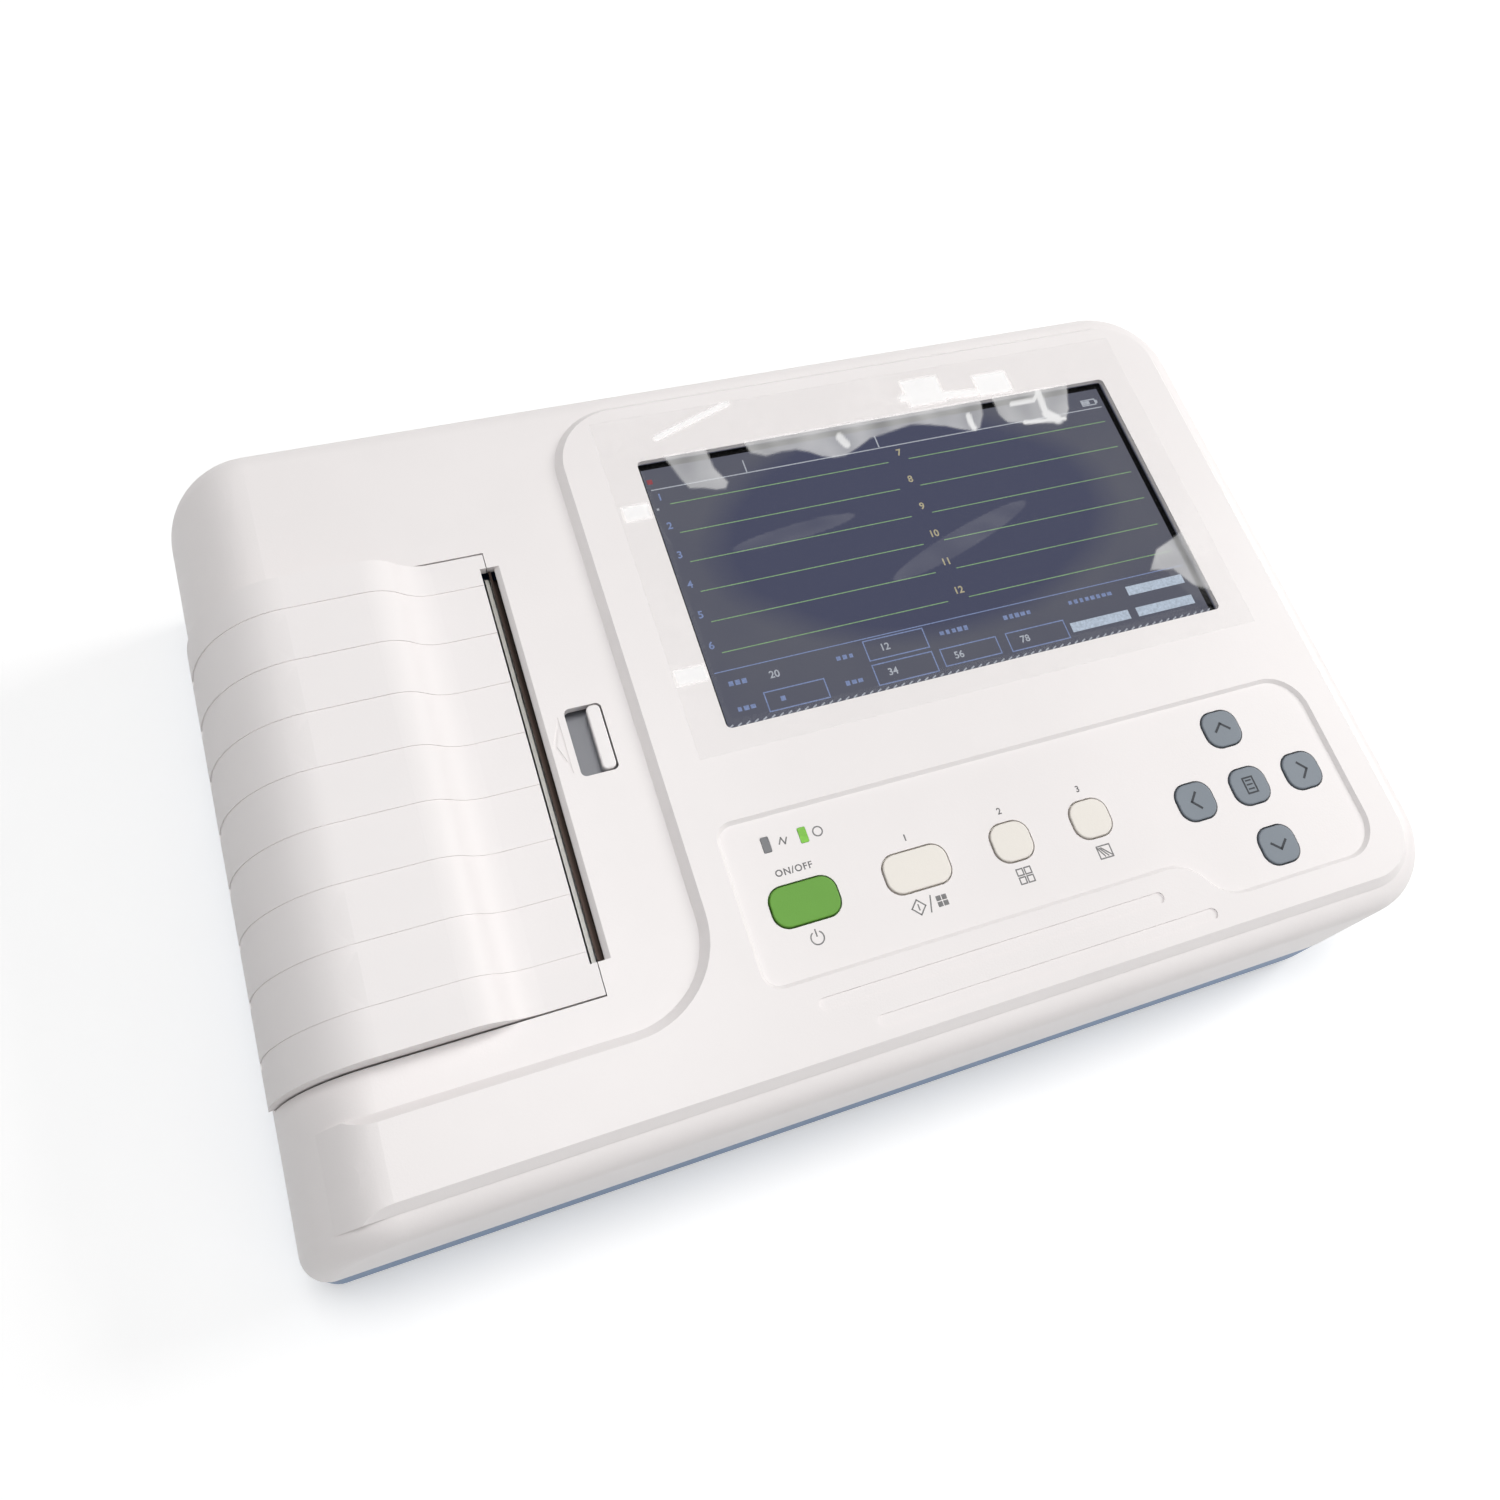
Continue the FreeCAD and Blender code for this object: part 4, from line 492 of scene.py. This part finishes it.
def dressNodes(finishes):
    slots = {row["node"]: row["material_slot"] for row in frame["record"]["subparts"]}
    for name, piece in nodes.items():
        finish = finishes.get(ownFinish.get(name, slots[name]))
        if finish is None:
            continue
        if not piece.material_slots:
            piece.data.materials.append(finish)
        for holder in piece.material_slots:
            holder.material = finish


# Flat marks: thin shapes drawn on a plane and laid on the deck

def deckPlace(node):
    # middle of a node in millimetres on the deck
    low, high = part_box(node)
    middle = deckInverse @ ((Vector(low) + Vector(high)) / 2)
    return middle.x / mm, middle.y / mm


def addBar(bm, u, v, width, height, turn=0.0):
    turned = Matrix.Translation((u, v, 0)) @ Matrix.Rotation(turn, 4, "Z")
    place = turned @ Matrix.Diagonal((width, height, 1, 1))
    return bmesh.ops.create_grid(bm, x_segments=1, y_segments=1, size=0.5, matrix=place)["verts"]


def addFrame(bm, u, v, width, height, line):
    face = addBar(bm, u, v, width, height)[0].link_faces[0]
    bmesh.ops.inset_individual(bm, faces=[face], thickness=line, use_even_offset=True)
    bmesh.ops.delete(bm, geom=[face], context="FACES")


def addArc(bm, u, v, radius, line, start, sweep, steps=28):
    ends = []
    for reach in (radius - line / 2, radius + line / 2):
        ends.append(bm.verts.new((u + reach * math.cos(start), v + reach * math.sin(start), 0)))
    edge = bm.edges.new(ends)
    bmesh.ops.spin(bm, geom=[*ends, edge], cent=(u, v, 0), axis=(0, 0, 1), angle=sweep, steps=steps,
                   use_merge=abs(sweep) > 6.28)


def addStroke(bm, points, line):
    for (u0, v0), (u1, v1) in zip(points, points[1:]):
        length = math.hypot(u1 - u0, v1 - v0)
        addBar(bm, (u0 + u1) / 2, (v0 + v1) / 2, length + line, line, math.atan2(v1 - v0, u1 - u0))


def addText(bm, words, u, v, height, spread=1.0, bold=0.0):
    letters = bpy.data.curves.new("letters", "FONT")
    letters.body = words
    letters.size = height / 0.7  # capitals stand about 0.7 of the size
    letters.align_x = "CENTER"
    letters.align_y = "CENTER"
    letters.space_character = spread
    letters.offset = bold
    holder = bpy.data.objects.new("letters", letters)
    bpy.context.collection.objects.link(holder)
    bpy.context.view_layer.update()
    mesh = bpy.data.meshes.new_from_object(holder.evaluated_get(bpy.context.evaluated_depsgraph_get()))
    mesh.transform(Matrix.Translation((u, v, 0)))
    bm.from_mesh(mesh)
    bpy.data.meshes.remove(mesh)
    bpy.data.objects.remove(holder)
    bpy.data.curves.remove(letters)


markGap = 0.004  # millimetres between a mark and the surface under it
weldReach = 0.0005


def layMarks(bm, name, surface, thick, material, body):
    # millimetres on the drawing plane become a thin solid on the deck
    bmesh.ops.remove_doubles(bm, verts=bm.verts, dist=weldReach)
    bmesh.ops.recalc_face_normals(bm, faces=bm.faces)
    for face in bm.faces:
        if face.normal.z < 0:
            face.normal_flip()
    raised = bmesh.ops.extrude_face_region(bm, geom=bm.faces[:])
    lifted = [item for item in raised["geom"] if isinstance(item, bmesh.types.BMVert)]
    bmesh.ops.translate(bm, verts=lifted, vec=(0, 0, thick))
    bmesh.ops.recalc_face_normals(bm, faces=bm.faces)
    place = deckMatrix @ Matrix.Scale(mm, 4) @ Matrix.Translation((0, 0, surface + markGap))
    bmesh.ops.transform(bm, matrix=place, verts=bm.verts)
    mesh = bpy.data.meshes.new(name)
    bm.to_mesh(mesh)
    bm.free()
    mesh.materials.append(material)
    piece = bpy.data.objects.new(name, mesh)
    bpy.context.collection.objects.link(piece)
    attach(piece, body)


inkLook = {"colour": (0.15, 0.148, 0.15), "rough": 0.6}
glyphLook = {"colour": (0.02, 0.024, 0.03), "rough": 0.7}
inkPatch = {"fineness": 900, "height": 10}


def printInk(name, look):
    # screen-printed ink, a little thin in places
    material, tree, shader = startMaterial(name)
    patch = noiseOn(tree, objectPoint(tree), inkPatch["fineness"])
    stops = [(0.3, look["colour"]), (0.75, shade(look["colour"], 1.5))]
    tree.links.new(rampOn(tree, patch, stops), shader.inputs["Base Color"])
    shader.inputs["Roughness"].default_value = look["rough"]
    bumpOn(tree, shader, patch, inkPatch["height"] * micron)
    return material


# Legends beside the keys

legendLook = {
    "floor": 1.5, "thick": 0.012, "above": 8.6, "below": 9.6, "height": 1.75, "line": 0.36,
    "spread": 1.15, "bold": 0.05,
}


def powerSign(bm, u, v):
    line = legendLook["line"]
    addArc(bm, u, v, 1.7, line, math.radians(60), math.radians(-300))
    addBar(bm, u, v + 1.3, line, 2.0)


def runSign(bm, u, v):
    line = legendLook["line"]
    corners = [(u - 5.1, v), (u - 3.2, v + 2.0), (u - 1.3, v), (u - 3.2, v - 2.0), (u - 5.1, v)]
    addStroke(bm, corners, line)
    addBar(bm, u - 3.2, v, line, 1.7)
    addStroke(bm, [(u - 0.4, v - 2.0), (u + 0.7, v + 2.0)], line)
    for column in (-0.8, 0.8):
        for row in (-0.8, 0.8):
            addBar(bm, u + 3.4 + column, v + row, 1.35, 1.35)


def pagesSign(bm, u, v):
    line = legendLook["line"]
    for column in (-1.15, 1.15):
        for row in (-1.15, 1.15):
            addFrame(bm, u + column, v + row, 2.1, 2.1, line)


def sheetSign(bm, u, v):
    line = legendLook["line"]
    addFrame(bm, u, v, 4.2, 3.8, line)
    for shift in (-1.0, 0.0, 1.0):
        addStroke(bm, [(u - 1.2 + shift * 0.5, v + 1.2), (u + 0.6 + shift, v - 1.2)], line)


def makeLegends(ink):
    look = legendLook
    line = look["line"]
    bm = bmesh.new()
    for node, words, sign in (("power_key", "ON/OFF", powerSign), ("start_key", "1", runSign),
                              ("mode_key", "2", pagesSign), ("print_key", "3", sheetSign)):
        u, v = deckPlace(node)
        addText(bm, words, u, v + look["above"], look["height"], look["spread"], look["bold"])
        sign(bm, u, v - look["below"])
    u, v = deckPlace("mains_lens")
    addStroke(bm, [(u + 3.4, v - 0.6), (u + 4.2, v + 0.9), (u + 4.9, v - 0.9), (u + 5.7, v + 0.6)], line)
    u, v = deckPlace("charge_lens")
    addArc(bm, u + 4.0, v, 1.25, line, 0, 2 * math.pi)
    layMarks(bm, "keyLegends", look["floor"], look["thick"], ink, "base")


glyphPlan = {
    "top": 2.0, "thick": 0.02, "line": 0.68, "reach": 2.05, "ahead": 0.7, "spread": 1.1,
    "sheet": (3.6, 5.0, 0.5), "rows": (-1.1, 0.2, 1.4), "row": (1.9, 0.45),
}


def makeGlyphs(ink):
    # arrow heads on the four outer keys, a small sheet in the middle
    plan = glyphPlan
    reach = plan["reach"]
    for node, du, dv in (("left_key", -1, 0), ("right_key", 1, 0), ("up_key", 0, 1), ("down_key", 0, -1)):
        u, v = deckPlace(node)
        bm = bmesh.new()
        tip = (u + du * reach * plan["ahead"], v + dv * reach * plan["ahead"])
        tails = []
        for side in (-plan["spread"], plan["spread"]):
            tails.append((tip[0] + reach * (side * dv - du), tip[1] + reach * (side * du - dv)))
        addStroke(bm, [tails[0], tip, tails[1]], plan["line"])
        layMarks(bm, node + "_glyph", plan["top"], plan["thick"], ink, node)
    u, v = deckPlace("menu_key")
    bm = bmesh.new()
    addFrame(bm, u, v, *plan["sheet"])
    for row in plan["rows"]:
        addBar(bm, u, v + row, *plan["row"])
    layMarks(bm, "menu_key_glyph", plan["top"], plan["thick"], ink, "menu_key")


# Picture on the display

screenPlan = {
    "left": -26.3, "right": 128.3, "front": -8.4, "back": 77.3,
    "layer": -0.645, "thick": 0.012,
    "rows": 6, "topRow": 63.7, "rowPitch": 9.8, "traceWidth": 0.3,
    "columns": ((-20.0, 48.8), (55.5, 124.6)),
    "statusLine": 69.2, "footLine": 9.2, "ruleLength": 150,
    "edgeOver": 0.8, "edgeWidth": 1.9,
}
boxPlan = (  # left, right, front, back
    (-12.9, 5.0, -5.5, 0.6), (19.3, 38.0, 2.1, 8.6), (19.3, 38.0, -5.6, 1.0),
    (40.2, 58.2, -4.8, 0.9), (61.2, 80.4, -5.2, 1.0),
)
glowLooks = {
    "traceGreen": {"colour": (0.30, 0.50, 0.27), "glow": 0.9},
    "markBlue": {"colour": (0.33, 0.42, 0.72), "glow": 0.75},
    "markPale": {"colour": (0.62, 0.66, 0.74), "glow": 0.8},
    "markCream": {"colour": (0.62, 0.56, 0.38), "glow": 0.8},
    "edgeBlackAndShade": {"colour": (0.004, 0.004, 0.005), "glow": 0.5},
    "markRed": {"colour": (0.45, 0.10, 0.12), "glow": 0.8},
    "buttonPale": {"colour": (0.62, 0.72, 0.86), "glow": 0.9},
}
dotFineness = 1500


def glowInk(name, look):
    # picture elements: brightness wavers from one dot to the next
    material, tree, shader = startMaterial(name)
    dots = noiseOn(tree, objectPoint(tree), dotFineness, 1)
    stops = [(0.3, shade(look["colour"], 0.75)), (0.7, look["colour"])]
    tree.links.new(rampOn(tree, dots, stops), shader.inputs["Emission Color"])
    shader.inputs["Emission Strength"].default_value = look["glow"]
    shader.inputs["Base Color"].default_value = (0.01, 0.01, 0.01, 1)
    shader.inputs["Roughness"].default_value = 0.6
    shader.inputs["Specular IOR Level"].default_value = 0.0
    return material


def addDashes(bm, u, v, count, rng, height=1.5):
    # a short run of blocks standing for a line of small print
    for i in range(count):
        addBar(bm, u + i * 1.9, v, 1.5 * rng.uniform(0.7, 1.0), height * rng.uniform(0.75, 1.0))


def makeScreen():
    plan = screenPlan
    inks = {name: glowInk(name, look) for name, look in glowLooks.items()}
    rng = random.Random(5)
    marks = {name: bmesh.new() for name in inks}
    rowPlaces = [plan["topRow"] - i * plan["rowPitch"] for i in range(plan["rows"])]
    for column, (u0, u1) in enumerate(plan["columns"]):
        for i, v in enumerate(rowPlaces):
            addBar(marks["traceGreen"], (u0 + u1) / 2, v, u1 - u0, plan["traceWidth"])
            ink = "markBlue" if column == 0 else "markCream"
            addText(marks[ink], str(1 + i + column * plan["rows"]), u0 - 2.2, v + 2.7, 2.2, 1.0, 0.08)
    middle = (plan["left"] + plan["right"]) / 2
    addBar(marks["markPale"], middle, plan["statusLine"], plan["ruleLength"], 0.35)
    addBar(marks["markBlue"], middle, plan["footLine"], plan["ruleLength"], 0.3)
    for u in (5.3, 47.9):
        addBar(marks["markPale"], u, plan["statusLine"] + 2.4, 0.4, 4.2)
    # black frame along the window's edges: partly the panel's dark border, partly painted shade under the
    # bezel's edge
    over = 2 * plan["edgeOver"]
    addFrame(marks["edgeBlackAndShade"], middle, (plan["front"] + plan["back"]) / 2,
             plan["right"] - plan["left"] + over, plan["back"] - plan["front"] + over, plan["edgeWidth"])
    for left, right, front, back in boxPlan:
        addFrame(marks["markBlue"], (left + right) / 2, (front + back) / 2, right - left, back - front, 0.35)
    for u, v, words in ((-8.0, 5.0, "20"), (25.2, 5.4, "12"), (24.8, -2.3, "34"), (45.4, -2.1, "56"),
                        (66.6, -2.1, "78")):
        addText(marks["markPale"], words, u, v, 2.1, 1.0, 0.06)
    for u, v, count in ((-20.5, 5.2, 3), (-20.5, -2.6, 3), (11.0, 5.2, 3), (11.0, -2.6, 3), (43.0, 5.5, 5),
                        (63.5, 5.7, 5), (85.0, 5.6, 8), (-8.0, -2.4, 1)):
        addDashes(marks["markBlue"], u, v, count, rng)
    addFrame(marks["markPale"], 122.2, 71.6, 5.2, 2.4, 0.4)  # battery sign: outline, tip and charge
    addBar(marks["markPale"], 125.1, 71.6, 0.6, 1.2)
    addBar(marks["markPale"], 121.3, 71.6, 2.6, 1.4)
    addBar(marks["markRed"], -23.6, 72.0, 1.6, 1.6)
    addBar(marks["markPale"], -23.9, 62.6, 0.7, 0.7)
    for u, v in ((91.7, -2.2), (114.0, 5.0), (114.0, -2.2)):
        addBar(marks["buttonPale"], u, v, 19.6, 3.0)
    for i in range(64):  # slanted ticks along the front edge
        addBar(marks["markPale"], plan["left"] + 2 + i * 2.4, plan["front"] + 1.6, 1.4, 0.4, math.radians(28))
    surface = plan["layer"] + plan["thick"]
    for name, bm in marks.items():
        layMarks(bm, "screen_" + name, surface, plan["thick"], inks[name], "base")


# Protective film over the display

filmPlan = {
    "left": -36.0, "right": 137.0, "front": -15.0, "back": 92.5,
    "rim": 2.62, "glass": 0.64, "columns": 346, "rows": 215,
    "hems": (  # outlines of the places over the glass where the lifted edge is milky
        ((-18.9, 79.0), (-13.2, 66.8), (-9.2, 66.1), (-5.9, 64.8), (-2.9, 64.6), (-1.7, 66.5), (-4.3, 72.0),
         (-5.8, 79.0)),
        ((5.8, 79.0), (7.6, 74.1), (12.1, 72.5), (17.4, 73.2), (21.8, 73.0), (25.7, 71.4), (28.8, 69.3),
         (32.2, 68.1), (36.1, 68.1), (41.5, 70.3), (45.5, 72.1), (59.5, 73.7), (66.1, 73.1), (71.0, 71.8),
         (75.0, 69.8), (78.6, 68.5), (81.5, 68.8), (84.0, 72.9), (84.5, 79.0)),
        ((88.0, 79.0), (89.3, 72.3), (91.4, 69.1), (98.4, 67.3), (106.9, 65.6), (110.9, 66.3), (113.7, 70.1),
         (115.5, 79.0)),
        ((114.0, 9.5), (119.0, 15.5), (129.0, 19.0), (129.0, -3.0), (124.5, 2.0), (121.0, 8.0)),
    ),
    "creaseGlints": (  # painted glints along the film's folds: half width, then the line
        (0.35, ((94.4, 74.4), (102.3, 74.4), (104.6, 76.3))),
        (0.6, ((104.6, 76.3), (105.3, 71.0), (106.5, 67.4))),
        (0.9, ((105.6, 69.4), (108.0, 67.2))), (0.35, ((97.0, 67.9), (110.5, 66.7))),
        (0.5, ((79.1, 73.2), (79.6, 69.4))), (0.6, ((36.0, 74.0), (37.6, 71.6))),
        (0.4, ((-18.3, 84.2), (5.7, 91.8))), (0.6, ((60.0, 83.0), (84.0, 80.5))),
    ),
    "pockets": (  # air pockets: middle u, v, half length, half width, turn in degrees
        (60.0, 32.5, 27.0, 3.6, 18.0), (12.0, 46.0, 20.0, 2.6, 5.0), (125.0, 5.0, 13.0, 5.0, -68.0),
    ),
    "paintedGlare": (  # painted highlights on the rim where the film mirrors the light: left, right, front, back
        (-35.8, -26.6, 6.2, 11.4), (-35.0, -26.8, 58.2, 63.6), (61.0, 74.0, 79.0, 89.5),
        (85.0, 97.0, 78.5, 87.0),
    ),
    "pocketLift": 0.45, "slackLift": 0.3,
    "hazeAndGlare": {"pocket": 0.045, "hem": 0.48, "rim": 0.04, "slack": 0.08, "paintedGlare": 0.9, "creaseGlint": 0.85},
    "busy": (110, 60),  # hems lie right of the first or behind the second, crease glints only behind
}
filmLook = {"tint": 0.95, "rough": 0.06, "hazeAndGlare": (0.96, 0.96, 0.96)}


def easeIn(value):
    share = max(0.0, min(1.0, value))
    return share * share * (3 - 2 * share)


def lineDistance(u, v, points):
    best = 1000.0
    for (u0, v0), (u1, v1) in zip(points, points[1:]):
        span = (u1 - u0) ** 2 + (v1 - v0) ** 2
        share = max(0.0, min(1.0, ((u - u0) * (u1 - u0) + (v - v0) * (v1 - v0)) / span))
        best = min(best, math.hypot(u - u0 - share * (u1 - u0), v - v0 - share * (v1 - v0)))
    return best


def hemDepth(u, v):
    # distance inside the nearest hem's outline, negative outside
    best = -1000.0
    for outline in filmPlan["hems"]:
        closed = (*outline, outline[0])
        inside = False
        for (u0, v0), (u1, v1) in zip(closed, closed[1:]):
            if (v0 > v) != (v1 > v) and u < u0 + (u1 - u0) * (v - v0) / (v1 - v0):
                inside = not inside
        best = max(best, lineDistance(u, v, closed) * (1 if inside else -1))
    return best


def pocketShare(u, v):
    # 1 in the middle of an air pocket, 0 outside it
    best = 0.0
    for middleU, middleV, length, width, degrees in filmPlan["pockets"]:
        turn = math.radians(degrees)
        along = (u - middleU) * math.cos(turn) + (v - middleV) * math.sin(turn)
        across = (v - middleV) * math.cos(turn) - (u - middleU) * math.sin(turn)
        best = max(best, 1 - (along / length) ** 2 - (across / width) ** 2)
    return best


def ripple(x, y, seed):
    return noise.noise(Vector((x, y, seed)))


def filmPoint(u, v):
    # height over the deck and haze at one place of the film, with painted highlights on glare spots and
    # creases
    plan = screenPlan
    share = filmPlan["hazeAndGlare"]
    busyU, busyV = filmPlan["busy"]
    sideRun = 2.0 + 1.2 * (0.5 + ripple(v * 0.09, u * 0.01, 5.5))
    frontRun = 2.4 + 2.0 * (0.5 + ripple(u * 0.05, 1.7, 9.2))
    backRun = 7.0 + 4.0 * ripple(u * 0.08, 3.1, 0.0)
    inside = easeIn(min((u - plan["left"]) / sideRun, (plan["right"] - u) / sideRun,
                        (v - plan["front"]) / frontRun, (plan["back"] - v) / backRun))
    slack = max(0.0, ripple(u * 0.05, v * 0.07, 2.0) + 0.5 * ripple(u * 0.16, v * 0.2, 4.0))
    pocket = pocketShare(u, v)
    lay = filmPlan["glass"] + 0.05 * ripple(u * 0.045, v * 0.06, 7.0) + filmPlan["pocketLift"] * pocket
    rim = filmPlan["rim"] + filmPlan["slackLift"] * slack
    height = rim + (lay - rim) * inside
    if plan["left"] < u < plan["right"] and plan["front"] < v < plan["back"] + 0.4:
        hazeAndGlare = easeIn(pocket / 0.1) * (share["pocket"] + 0.03 * ripple(u * 0.1, v * 0.2, 6.0))
        if v > busyV or u > busyU:
            streak = 0.85 + 0.35 * ripple(u * 0.13, v * 0.09, 1.0)
            hazeAndGlare = max(hazeAndGlare, share["hem"] * streak * easeIn(hemDepth(u, v) / 0.8 + 0.5))
    else:
        hazeAndGlare = share["rim"] + share["slack"] * slack
        # painted highlights: white haze on the glare spots
        for left, right, front, back in filmPlan["paintedGlare"]:
            edge = min(u - left, right - u, v - front, back - v)
            hazeAndGlare = max(hazeAndGlare, share["paintedGlare"] * easeIn(edge / 1.6 + 0.3))
    # painted glints: white haze along the creases
    if v > busyV:
        for half, points in filmPlan["creaseGlints"]:
            hazeAndGlare = max(hazeAndGlare, share["creaseGlint"] * easeIn(1.6 - lineDistance(u, v, points) / (2 * half)))
    return height, hazeAndGlare


def filmFinish():
    # clear film: milky where it is lifted, white as painted highlights on glare spots and creases, mirrored
    # at a flat angle
    material, tree, clear, mirror = startClear("film_clear", filmLook)
    hazeAndGlare = tree.nodes.new("ShaderNodeAttribute")
    hazeAndGlare.attribute_name = "hazeAndGlare"
    veil = tree.nodes.new("ShaderNodeBsdfDiffuse")
    veil.inputs["Color"].default_value = (*filmLook["hazeAndGlare"], 1)
    body = mixOn(tree, hazeAndGlare.outputs["Fac"], clear, veil.outputs[0])
    surface = mixOn(tree, facingMirror(tree), body, mirror)
    tree.links.new(surface, tree.nodes["Material Output"].inputs["Surface"])
    return material


def makeFilm():
    plan = filmPlan
    bm = bmesh.new()
    width = plan["right"] - plan["left"]
    depth = plan["back"] - plan["front"]
    middle = Matrix.Translation(((plan["left"] + plan["right"]) / 2, (plan["front"] + plan["back"]) / 2, 0))
    bmesh.ops.create_grid(bm, x_segments=plan["columns"], y_segments=plan["rows"], size=0.5,
                          matrix=middle @ Matrix.Diagonal((width, depth, 1, 1)))
    layer = bm.verts.layers.float.new("hazeAndGlare")
    for vert in bm.verts:
        vert.co.z, vert[layer] = filmPoint(vert.co.x, vert.co.y)
    bmesh.ops.transform(bm, matrix=deckMatrix @ Matrix.Scale(mm, 4), verts=bm.verts)
    for face in bm.faces:
        face.smooth = True
    mesh = bpy.data.meshes.new("protectiveFilm")
    bm.to_mesh(mesh)
    bm.free()
    mesh.materials.append(filmFinish())
    film = bpy.data.objects.new("protectiveFilm", mesh)
    bpy.context.collection.objects.link(film)
    film.visible_shadow = False  # haze lights what is under it as much as it shades it
    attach(film, "base")
    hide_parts("protective_film")


bpy.context.scene.view_settings.view_transform = "Standard"
makeCamera()
makeLamps()
makeWorld()
makeFloor()
print("camera, lamps and floor set")
dressNodes(makeFinishes())
print("finishes on the carried-over nodes")
makeLegends(printInk("legendInk", inkLook))
makeGlyphs(printInk("glyphInk", glyphLook))
print("legends and key glyphs laid")
makeScreen()
print("display picture laid")
makeFilm()
print("film laid")
